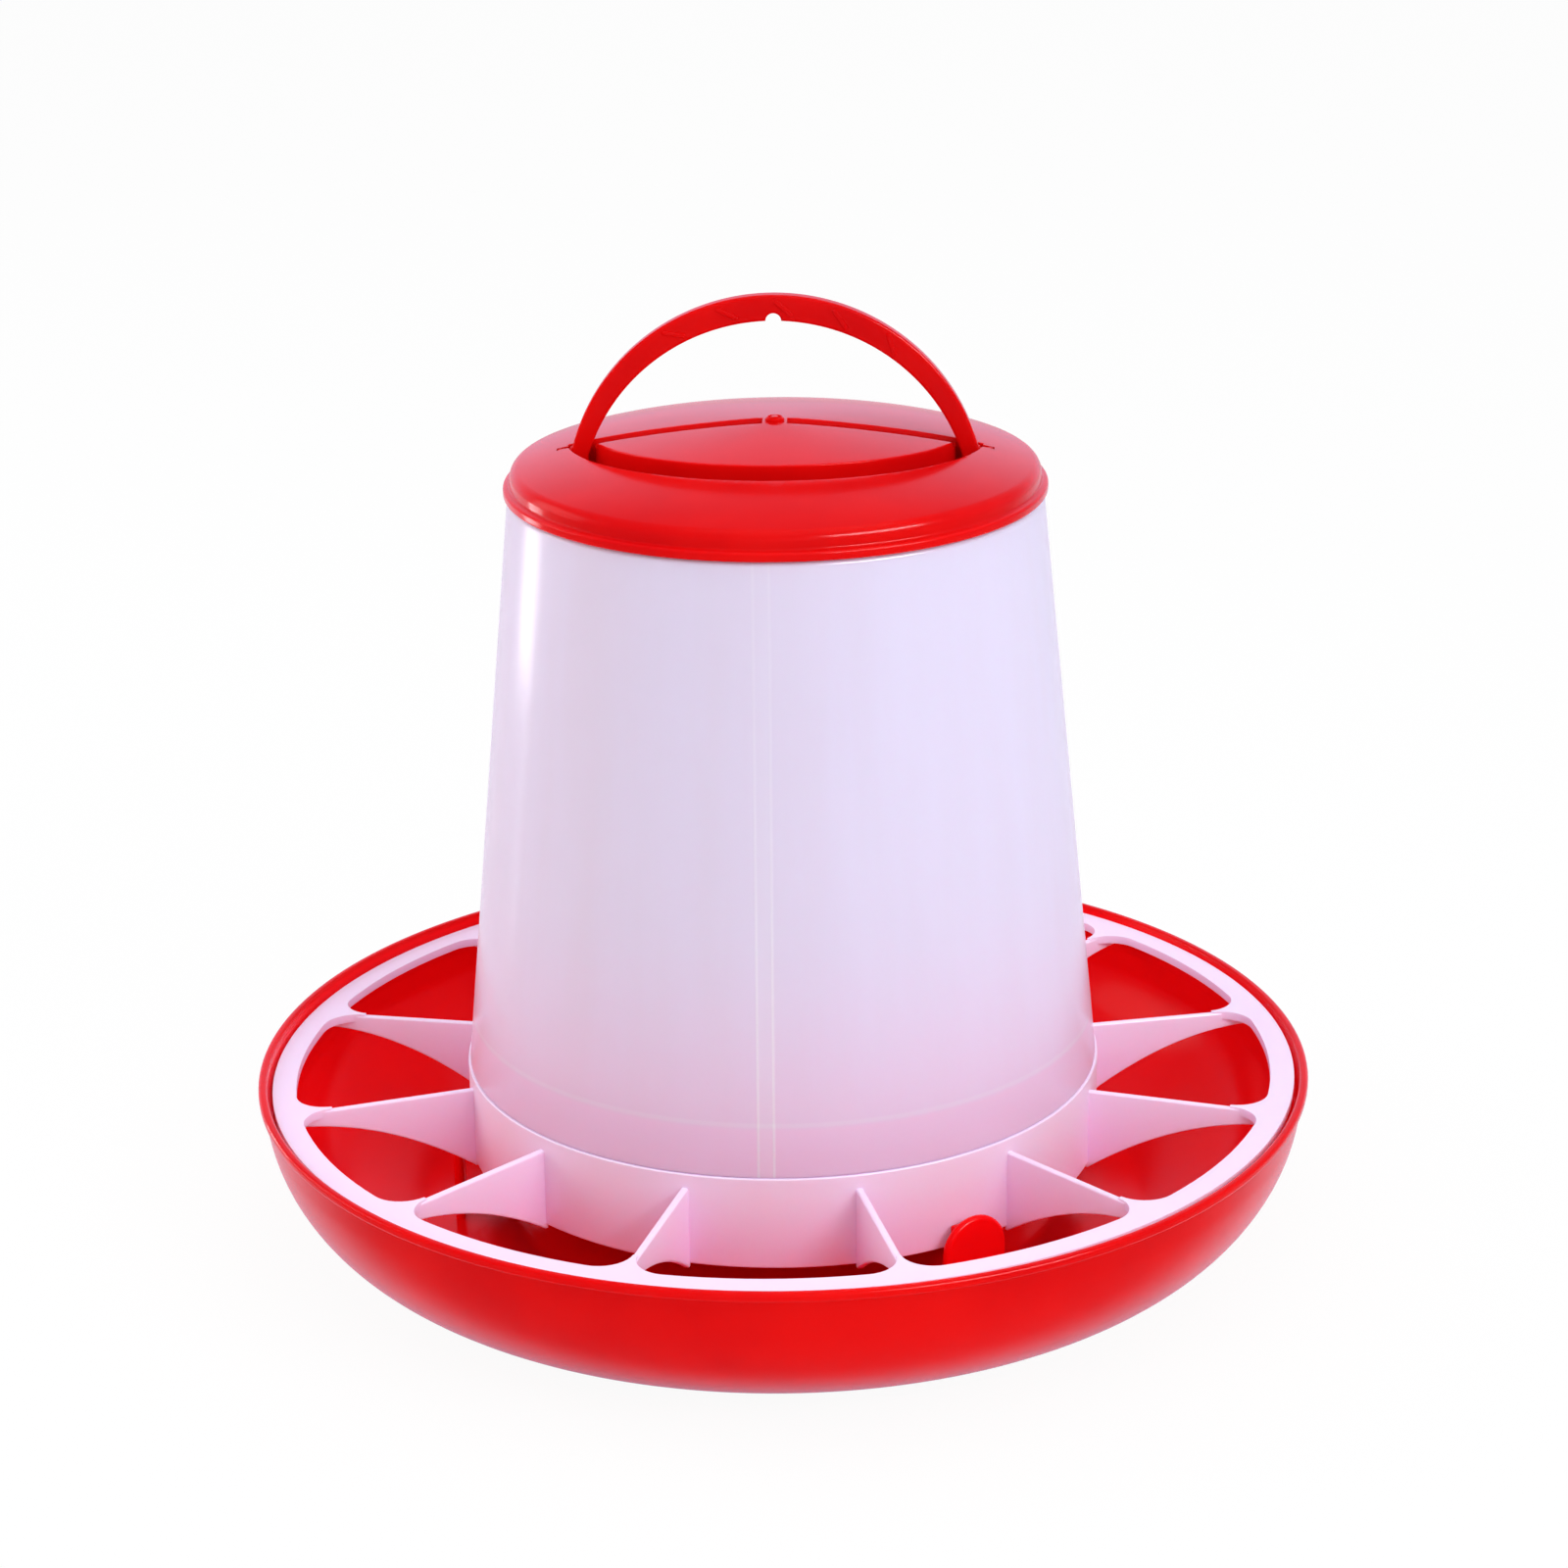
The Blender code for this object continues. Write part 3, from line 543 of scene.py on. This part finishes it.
def makeRing():
    s = grillSettings
    inner = ringInnerEdge()
    ring = walkWire("ring", [(corner.x, corner.y, s["ringBottom"]) for corner in inner])
    # seen from the axis the fillets fold back on themselves, so the outer edge is spaced evenly
    start = math.atan2(inner[0].y, inner[0].x)
    turns = [start + math.tau * step / len(inner) for step in range(len(inner))]
    outer = [(s["ringOuter"] * math.cos(turn), s["ringOuter"] * math.sin(turn), s["ringBottom"]) for turn in turns]
    rim = walkWire("rim", outer)
    bpy.ops.object.select_all(action="DESELECT")
    rim.select_set(True)
    ring.select_set(True)
    bpy.context.view_layer.objects.active = ring
    bpy.ops.object.join()
    bpy.ops.object.mode_set(mode="EDIT")
    bpy.ops.mesh.select_all(action="SELECT")
    bpy.ops.mesh.bridge_edge_loops()
    bpy.ops.mesh.select_all(action="SELECT")
    bpy.ops.mesh.extrude_region_move(TRANSFORM_OT_translate={"value": (0, 0, s["ringTop"] - s["ringBottom"])})
    bpy.ops.mesh.select_all(action="SELECT")
    bpy.ops.mesh.normals_make_consistent(inside=False)
    bpy.ops.object.mode_set(mode="OBJECT")
    return ring


def makeFins():
    s = grillSettings
    root = s["skirtRadius"] - s["rooted"]
    outline = [(s["finTipRadius"], s["finTipTop"]), (root, s["finRootTop"]), (root, s["finRootBottom"])]
    for step in range(s["archSteps"] + 1):
        share = step / s["archSteps"]
        height = s["finTipBottom"] - (s["finTipBottom"] - s["finRootBottom"]) * (1 - share) ** 2
        outline.append((s["skirtRadius"] + (s["finTipRadius"] - s["skirtRadius"]) * share, height))
    half = s["finThickness"] / 2
    fin = slabFrom("fin", [(-half, -across, up) for across, up in outline], (2 * half, 0, 0))
    bevelWhere(fin, sameLevel(0, [-half, half]), s["finEdge"])
    return copyRound(fin, s["finCount"], math.tau / s["finCount"] / 2)


def leanOutwards(grill):
    # the ring sits a little unevenly, and the fins bend with it
    s = grillSettings
    for vertex in grill.data.vertices:
        reach = math.hypot(vertex.co.x, vertex.co.y)
        share = (reach - s["skirtRadius"]) / (s["ringInner"] - s["skirtRadius"])
        lift = (s["lean"][0] * vertex.co.x + s["lean"][1] * vertex.co.y) / reach
        vertex.co.z += lift * min(max(share, 0), 1)


def makeGrill(material):
    s = grillSettings
    thick, web = s["collarWall"], s["ledgeTop"] - s["skirtWall"]
    inner = s["skirtRadius"] - s["skirtWall"]
    profile = [(s["skirtRadius"], s["skirtBottom"], 0.0005), (s["skirtRadius"], s["ledgeTop"], 0.0003),
               (s["collarBase"], s["ledgeTop"], 0.0004), (s["collarTop"], s["collarRise"], 0.0006),
               (s["collarTop"] - thick, s["collarRise"], 0.0006), (s["collarBase"] - thick, web, 0.0012),
               (inner, web, 0.0008), (inner, s["skirtBottom"], 0.0005)]
    grill = turnedPiece("grill", evenSteps(softCorners(profile, 4), s["longestStep"]), s["turnSteps"])
    combine(grill, makeFins())
    combine(grill, makeRing())
    leanOutwards(grill)
    low = (-s["lugWidth"] / 2, -s["lugReach"], s["lugBottom"])
    high = (s["lugWidth"] / 2, -s["skirtRadius"] + s["rooted"], s["lugTop"])
    lug = roundBlock("lug", low, high, s["lugEdge"])
    combine(grill, copyRound(lug, panSettings["tabCount"], math.radians(panSettings["tabAzimuth"])))
    return finishPiece(grill, "grillRing", "feed_grill", "grill", material)


# Hopper barrel: open at both ends, with a stepped neck; its seams are in its material

barrelSettings = {
    "bottom": 0.0447, "bottomRadius": 0.08069, "shoulder": 0.1930, "topRadius": 0.06586, "shoulderInner": 0.06442,
    "top": 0.1984, "neckRadius": 0.0629, "wall": 0.0016, "turnSteps": 180, "longestStep": 0.008}


def makeBarrel(material):
    s = barrelSettings
    under = s["shoulder"] - s["wall"]
    profile = [(s["bottomRadius"] - s["wall"], s["bottom"], 0.0005), (s["bottomRadius"], s["bottom"], 0.0003),
               (s["topRadius"], s["shoulder"], 0.0012), (s["neckRadius"], s["shoulder"], 0.0006),
               (s["neckRadius"], s["top"], 0.0006), (s["neckRadius"] - s["wall"], s["top"], 0.0006),
               (s["neckRadius"] - s["wall"], under, 0.0009), (s["shoulderInner"], under, 0.0009)]
    barrel = turnedPiece("barrel", evenSteps(softCorners(profile, 4), s["longestStep"]), s["turnSteps"])
    return finishPiece(barrel, "hopperBarrel", "hopper_barrel", "barrel", material)


# Lid: turned cap with the folded handle's nest, pin bores, cross groove and gate mark

lidSettings = {
    "bottom": 0.1933, "shoulder": 0.2025, "radius": 0.0650, "innerRadius": 0.0632, "wall": 0.0018,
    "beadRadius": 0.06684, "beadHeight": 0.0022, "beadRound": 0.0007, "draft": 0.0003, "edgeRound": 0.0030,
    "edgeDrop": 0.0027, "rise": 0.0078, "power": 1.3, "underEnd": 0.0605,
    "turnSteps": 192, "domeSteps": 26, "longestStep": 0.004,
    "nestFloor": 0.199425, "floorWall": 0.0016, "bedHeight": 0.0125, "lip": 0.0003, "bowSteps": 40,
    "innerGap": 0.0014, "outerGap": 0.0006, "backGap": 0.0004, "cutTop": 0.216,
    "hinge": 0.201825, "boreRadius": 0.0017, "boreSteps": 24, "boreEnd": 0.0536, "boreStart": 0.0482,
    "earHeight": 0.011, "slotHalf": 0.001, "slotTop": 0.2143, "smallEdge": 0.0003,
    "grooveHalf": 0.0026, "grooveDepth": 0.0014, "grooveStart": 0.0030, "grooveEnd": 0.0462, "grooveLip": 0.0003,
    "grooveClear": 0.006, "grooveSteps": 16,
    "gateRadius": 0.0024, "gateHeight": 0.0009, "gateSunk": 0.0006, "gateSteps": 20,
    "gateRings": ((0.0006, 0.5), (0.0005, -0.7), (0.0005, 0.8)), "gateDrift": (0.00005, -0.00004)}

handleSettings = {
    "halfSpan": 0.0502, "rise": 0.0397, "strapWidth": 0.0064, "footWidth": 0.0045, "thickness": 0.0040,
    "edge": 0.0007, "steps": 72, "notchRadius": 0.0019, "notchSteps": 16,
    "pinRadius": 0.0014, "pinLength": 0.0031, "pinSteps": 36,
    "markPlaces": (-0.0245, -0.011, 0.0025, 0.016, 0.0295), "markSlant": 38, "markLength": 0.0058,
    "markWidth": 0.0012, "markProud": 0.0003, "markSunk": 0.0004, "markEdge": 0.00025}


def arcThrough(halfSpan, rise):
    radius = (halfSpan ** 2 + rise ** 2) / (2 * rise)
    return radius, radius - rise


outerArc, outerDrop = arcThrough(handleSettings["halfSpan"], handleSettings["rise"])
innerArc, innerDrop = arcThrough(
    handleSettings["halfSpan"] - handleSettings["footWidth"], handleSettings["rise"] - handleSettings["strapWidth"])


def domeAt(across, away=0.0):
    s = lidSettings
    share = min(math.hypot(across, away) / s["radius"], 1.0)
    return s["shoulder"] + s["rise"] * (1 - share ** s["power"]) - s["edgeDrop"] * share ** 4


def nestOutline(margin):
    # plan of the folded handle, grown by a margin: a bow in front, square at the back
    s = lidSettings
    back = handleSettings["thickness"] / 2 + s["backGap"] + margin
    outer = outerArc + s["outerGap"] + margin
    inner = innerArc - s["innerGap"] - margin
    outerEnd, innerEnd = math.asin(outerDrop / outer), math.asin(innerDrop / inner)
    outerBow = arcAround((0, outerDrop), outer, -outerEnd, -math.pi + outerEnd, s["bowSteps"])
    innerBow = arcAround((0, innerDrop), inner, -math.pi + innerEnd, -innerEnd, s["bowSteps"])
    left = [(outerBow[-1][0], back), (innerBow[0][0], back)]
    right = [(innerBow[-1][0], back), (outerBow[0][0], back)]
    return outerBow + left + innerBow + right


def makeLidShell():
    s = lidSettings
    edge, steps = s["radius"] - s["edgeRound"], s["domeSteps"]
    dome = [(edge * (1 - step / steps), domeAt(edge * (1 - step / steps))) for step in range(steps + 1)]
    under = [(across, up - s["wall"]) for across, up in reversed(dome) if across < s["underEnd"]]
    side = [dome[1], (s["radius"], domeAt(s["radius"]), s["edgeRound"]),
            (s["radius"] + s["draft"], s["bottom"] + s["beadHeight"] * 1.2, 0.0006),
            (s["beadRadius"], s["bottom"] + s["beadHeight"], s["beadRound"]),
            (s["beadRadius"], s["bottom"], s["beadRound"]), (s["innerRadius"], s["bottom"], 0.0006),
            (s["innerRadius"], domeAt(s["innerRadius"]) - s["wall"], 0.0010), under[-1]]
    side = evenSteps(softCorners(side, closed=False)[1:-1], s["longestStep"], closed=False)
    outline = list(reversed(dome[1:])) + side + list(reversed(under))
    return turnedPiece("lid", outline, s["turnSteps"], closed=False)


def makeNestBed():
    # the nest's floor and walls, with an ear round each pin, all cut off under the dome
    s = lidSettings
    bottom = s["nestFloor"] - s["floorWall"]
    bed = slabFrom("bed", [(x, y, bottom) for x, y in nestOutline(s["floorWall"])], (0, 0, s["bedHeight"]))
    half = s["boreRadius"] + s["floorWall"]
    for side in (-1, 1):
        ends = sorted((side * s["boreStart"], side * (s["boreEnd"] + s["floorWall"])))
        low, high = (ends[0], -half, bottom), (ends[1], half, bottom + s["earHeight"])
        combine(bed, roundBlock("ear", low, high, s["smallEdge"]))
    edge, steps, below = s["radius"] - s["edgeRound"], s["domeSteps"], bottom - 0.004
    cap = [(edge * step / steps, domeAt(edge * step / steps) - s["wall"] / 2) for step in range(steps + 1)]
    limit = turnedPiece("limit", cap + [(edge, below), (0, below)], s["turnSteps"] // 2, closed=False)
    return combine(bed, limit, "INTERSECT")


def makeNestCutter():
    s = lidSettings
    floor, lip = s["nestFloor"], s["lip"]
    loops = [[(x, y, floor) for x, y in nestOutline(-lip)]]
    loops.append([(x, y, floor + lip * 0.3) for x, y in nestOutline(-lip * 0.3)])
    loops.append([(x, y, floor + lip) for x, y in nestOutline(0)])
    for out, down in ((0.0, 1.0), (0.08, 0.62), (0.3, 0.3), (0.62, 0.08), (1.0, -0.05)):  # the soft upper edge
        loops.append([(x, y, domeAt(x, y) - lip * down) for x, y in nestOutline(lip * out)])
    loops.append([(x, y, s["cutTop"]) for x, y in nestOutline(lip * 1.05)])
    return loftThrough("nest", loops)


def makeGrooveCutter(side):
    s = lidSettings
    half, lip, depth, clear = s["grooveHalf"], s["grooveLip"], s["grooveDepth"], -s["grooveClear"]
    near = [(-half - lip, clear), (-half - lip, -lip * 0.05), (-half - lip * 0.3, lip * 0.3), (-half, lip),
            (-half * 0.9, depth * 0.8), (-half * 0.5, depth)]
    rows = near + [(-away, down) for away, down in reversed(near)]
    loops = []
    for step in range(s["grooveSteps"] + 1):
        across = s["grooveStart"] + (s["grooveEnd"] - s["grooveStart"]) * step / s["grooveSteps"]
        loops.append([(side * across, y, domeAt(across, y) - down) for y, down in rows])
    return loftThrough("groove", loops)


def makePinBore(side):
    s = lidSettings
    start, last = s["boreStart"], s["boreSteps"] - 1
    circle = arcAround((0, s["hinge"]), s["boreRadius"], 0, math.tau * last / s["boreSteps"], last)
    bore = slabFrom("bore", [(side * start, y, z) for y, z in circle], (side * (s["boreEnd"] - start), 0, 0))
    ends = sorted((side * start, side * s["boreEnd"]))
    low, high = (ends[0], -s["slotHalf"], s["hinge"]), (ends[1], s["slotHalf"], s["slotTop"])
    return combine(bore, roundBlock("slot", low, high, s["smallEdge"]))


def makeGateMark():
    # the moulding's gate, a small crater where the plastic came in
    s = lidSettings
    bottom = domeAt(0) - s["gateSunk"]
    bpy.ops.object.select_all(action="DESELECT")
    bpy.ops.mesh.primitive_circle_add(
        vertices=s["gateSteps"], radius=s["gateRadius"], fill_type="NGON", location=(0, 0, bottom))
    gate = bpy.context.object
    bpy.ops.object.transform_apply(location=True)
    bpy.ops.object.mode_set(mode="EDIT")
    bpy.ops.mesh.select_all(action="SELECT")
    lift = s["gateSunk"] + s["gateHeight"] * 0.5
    bpy.ops.mesh.extrude_region_move(TRANSFORM_OT_translate={"value": (0, 0, lift)})
    for width, rise in s["gateRings"]:
        bpy.ops.mesh.inset(thickness=width)
        bpy.ops.transform.translate(value=(s["gateDrift"][0] * rise, s["gateDrift"][1], s["gateHeight"] * rise))
    bpy.ops.mesh.select_all(action="SELECT")
    bpy.ops.mesh.normals_make_consistent(inside=False)
    bpy.ops.object.mode_set(mode="OBJECT")
    return gate


def makeLid(material):
    lid = makeLidShell()
    combine(lid, makeNestBed())
    combine(lid, makeNestCutter(), "DIFFERENCE")
    for side in (-1, 1):
        combine(lid, makePinBore(side), "DIFFERENCE")
        combine(lid, makeGrooveCutter(side), "DIFFERENCE")
    combine(lid, makeGateMark())
    return finishPiece(lid, "lidCap", "lid", "lid", material)


# Carry handle: a flat bow with pivot pins, a hanging notch and slanting grip marks


def makeShaft(side):
    # one foot of the handle and its pin, turned on the hinge's axis
    h = handleSettings
    foot, outer, tip = h["thickness"] / 2, h["halfSpan"], h["halfSpan"] + h["pinLength"]
    start = outer - h["footWidth"]
    outline = [(0, start), (foot, start, 0.0006), (foot, outer, 0.0004), (h["pinRadius"], outer, 0.0002),
               (h["pinRadius"], tip, 0.0004), (0, tip)]
    shaft = turnedPiece("shaft", softCorners(outline, 3, closed=False), h["pinSteps"], closed=False)
    shaft.rotation_euler = (0, side * math.pi / 2, 0)
    shaft.location = (0, 0, lidSettings["hinge"])
    bpy.ops.object.transform_apply(location=True, rotation=True, scale=True)
    return shaft


def makeGripMark(place, side):
    # a thin slanting bar, proud of one face of the strap
    h = handleSettings
    turn = place / (outerArc - h["strapWidth"] / 2)
    outer = Vector((math.sin(turn) * outerArc, math.cos(turn) * outerArc - outerDrop))
    inner = Vector((math.sin(turn) * innerArc, math.cos(turn) * innerArc - innerDrop))
    centre = (outer + inner) / 2
    face = -h["thickness"] / 2
    low = (-h["markLength"] / 2, face - h["markProud"], -h["markWidth"] / 2)
    high = (h["markLength"] / 2, face + h["markSunk"], h["markWidth"] / 2)
    mark = roundBlock("mark", low, high, h["markEdge"])
    mark.rotation_euler = (0, math.radians(h["markSlant"]) + turn, 0)
    mark.location = (centre.x, 0, lidSettings["hinge"] + centre.y)
    bpy.ops.object.transform_apply(location=True, rotation=True, scale=True)
    mark.rotation_euler = (0, 0, 0 if side < 0 else math.pi)
    bpy.ops.object.transform_apply(location=True, rotation=True, scale=True)
    return mark


def makeHandle(material):
    h = handleSettings
    hinge, half, steps = lidSettings["hinge"], h["thickness"] / 2, h["steps"]
    outerStart, innerStart = math.asin(outerDrop / outerArc), math.asin(innerDrop / innerArc)
    outer = arcAround((0, hinge - outerDrop), outerArc, outerStart, math.pi - outerStart, steps)
    share = h["notchRadius"] / innerArc
    centre = (0, hinge - innerDrop)
    left = arcAround(centre, innerArc, math.pi - innerStart, math.pi / 2 + share, steps // 2)
    right = arcAround(centre, innerArc, math.pi / 2 - share, innerStart, steps // 2)
    notch = arcAround((0, left[-1][1]), h["notchRadius"], math.pi, 0, h["notchSteps"])[1:-1]
    face = [(x, -half, z) for x, z in outer + left + notch + right]
    handle = slabFrom("handle", face, (0, h["thickness"], 0))
    bevelWhere(handle, sameLevel(1, [-half, half]), h["edge"], 4)
    for side in (-1, 1):
        combine(handle, makeShaft(side))
    for side in (-1, 1):
        for place in h["markPlaces"]:
            combine(handle, makeGripMark(place, side))
    return finishPiece(handle, "carryHandle", "carry_handle", "handle", material)


print("making the pieces")
makePan(redFinish("redTrough", turned=True, trough=True))
makeGrill(whiteFinish())
makeBarrel(milkyFinish())
makeLid(redFinish("redLid", turned=True))
makeHandle(redFinish("redHandle", tone=redSettings["handleTone"], gloss=redSettings["handleGloss"]))


# Floor, light and camera

studioSettings = {
    "floorSize": 9.0, "floorColour": (0.90, 0.90, 0.90), "glossTint": (0.82, 0.73, 1.0), "cameraShadow": 0.06,
    "glossShadow": 0.5, "worldLight": 0.66,
    "lamps": [
        {"name": "overheadLamp", "place": (0.15, -0.25, 1.5), "size": (1.4, 1.2), "power": 6.5,
         "tint": (1.0, 1.0, 1.0)},
        {"name": "frontLamp", "place": (0.2, -1.6, 0.5), "size": (1.2, 0.8), "power": 2.0,
         "tint": (1.0, 1.0, 1.0)},
        {"name": "leftLamp", "place": (-1.3, 0.30, 0.5), "size": (0.8, 0.8), "power": 6.0,
         "tint": (1.0, 0.96, 1.0)},
        {"name": "rightLamp", "place": (1.0, -0.95, 0.95), "size": (1.0, 0.10), "power": 8.0,
         "tint": (0.84, 0.92, 1.0)},
        {"name": "glintLamp", "place": (1.0, -0.95, 0.95), "size": (1.1, 0.35), "power": 75.0,
         "tint": (1.0, 0.95, 1.0), "glossOnly": True},
        {"name": "windowLamp", "place": (-0.44, 0.20, 0.10), "size": (0.10, 0.09), "power": 0.22,
         "tint": (1.0, 0.97, 1.0), "glossOnly": True},
        {"name": "stripLamp", "place": (-0.31, 0.10, 0.07), "size": (0.012, 0.13), "power": 0.012,
         "tint": (1.0, 0.98, 1.0), "glossOnly": True}],
    "lampAim": (0.0, 0.0, 0.11)}

cameraSettings = {
    "place": (0.03391, -0.88259, 0.43002), "headingDegrees": -2.1255, "pitchDegrees": 19.578,
    "rollDegrees": -0.7162, "lens": 85.187, "sensor": 36.0, "clip": (0.01, 50)}


def whiteBackdrop(finish, lit, glow, cameraShadow, glossShadow):
    # the camera sees plain white, gloss and glass a pale tint of it, with a share of the real light for the shadow
    rays = finish.add("ShaderNodeLightPath", {}, {}, "Is Camera Ray")
    shiny = finish.add("ShaderNodeLightPath", {}, {}, "Is Glossy Ray")
    shiny = shiny + finish.add("ShaderNodeLightPath", {}, {}, "Is Transmission Ray")
    tint = finish.colour(rays, studioSettings["glossTint"], (1, 1, 1))
    seen = finish.add(glow, {}, {"Color": tint, "Strength": 1.0})
    share = rays * (1 - cameraShadow) + shiny * (1 - glossShadow)
    return finish.add("ShaderNodeMixShader", {}, {0: share, 1: lit, 2: seen})


def makeFloor():
    s = studioSettings
    bpy.ops.object.select_all(action="DESELECT")
    bpy.ops.mesh.primitive_plane_add(size=s["floorSize"], location=(0, 0, 0))
    floor = bpy.context.object
    floor.name = "studioFloor"
    finish = Finish("paleFloor", 0.9, {"Specular IOR Level": 0.0, "Base Color": (*s["floorColour"], 1.0)})
    lit = Tone(finish, finish.shader.outputs[0])
    mixed = whiteBackdrop(finish, lit, "ShaderNodeEmission", s["cameraShadow"], s["glossShadow"])
    finish.tree.links.new(mixed.socket, finish.tree.nodes["Material Output"].inputs["Surface"])
    floor.data.materials.append(finish.material)


class Sky(Finish):
    # the world's nodes, written in the same way
    def __init__(self, tree):
        self.tree = tree


def makeWorld():
    world = bpy.data.worlds.new("studioLight")
    bpy.context.scene.world = world
    world.use_nodes = True
    sky = Sky(world.node_tree)
    backdrop = world.node_tree.nodes["Background"]
    backdrop.inputs["Color"].default_value = (1, 1, 1, 1)
    backdrop.inputs["Strength"].default_value = studioSettings["worldLight"]
    lit = Tone(sky, backdrop.outputs[0])
    mixed = whiteBackdrop(sky, lit, "ShaderNodeBackground", 0.0, 0.0)
    sky.tree.links.new(mixed.socket, world.node_tree.nodes["World Output"].inputs["Surface"])


def makeLamps():
    for lamp in studioSettings["lamps"]:
        bpy.ops.object.select_all(action="DESELECT")
        bpy.ops.object.light_add(type="AREA", location=lamp["place"])
        light = bpy.context.object
        light.name = lamp["name"]
        light.data.shape = "RECTANGLE"
        light.data.size, light.data.size_y = lamp["size"]
        light.data.energy, light.data.color = lamp["power"], lamp["tint"]
        aim = Vector(studioSettings["lampAim"]) - Vector(lamp["place"])
        light.rotation_euler = aim.to_track_quat("-Z", "Y").to_euler()
        light.visible_camera = False
        light.visible_diffuse = not lamp.get("glossOnly", False)


def makeCamera():
    s = cameraSettings
    bpy.ops.object.select_all(action="DESELECT")
    bpy.ops.object.camera_add(location=s["place"])
    camera = bpy.context.object
    camera.name = "photoCamera"
    turn = Matrix.Rotation(-math.radians(s["headingDegrees"]), 4, "Z")
    tilt = Matrix.Rotation(math.pi / 2 - math.radians(s["pitchDegrees"]), 4, "X")
    roll = Matrix.Rotation(math.radians(s["rollDegrees"]), 4, "Z")
    camera.rotation_euler = (turn @ tilt @ roll).to_euler()
    camera.data.lens, camera.data.sensor_width = s["lens"], s["sensor"]
    camera.data.clip_start, camera.data.clip_end = s["clip"]
    bpy.context.scene.camera = camera


makeFloor()
makeWorld()
makeLamps()
makeCamera()
bpy.context.scene.view_settings.view_transform = "Standard"
print("floor, light and camera are set")
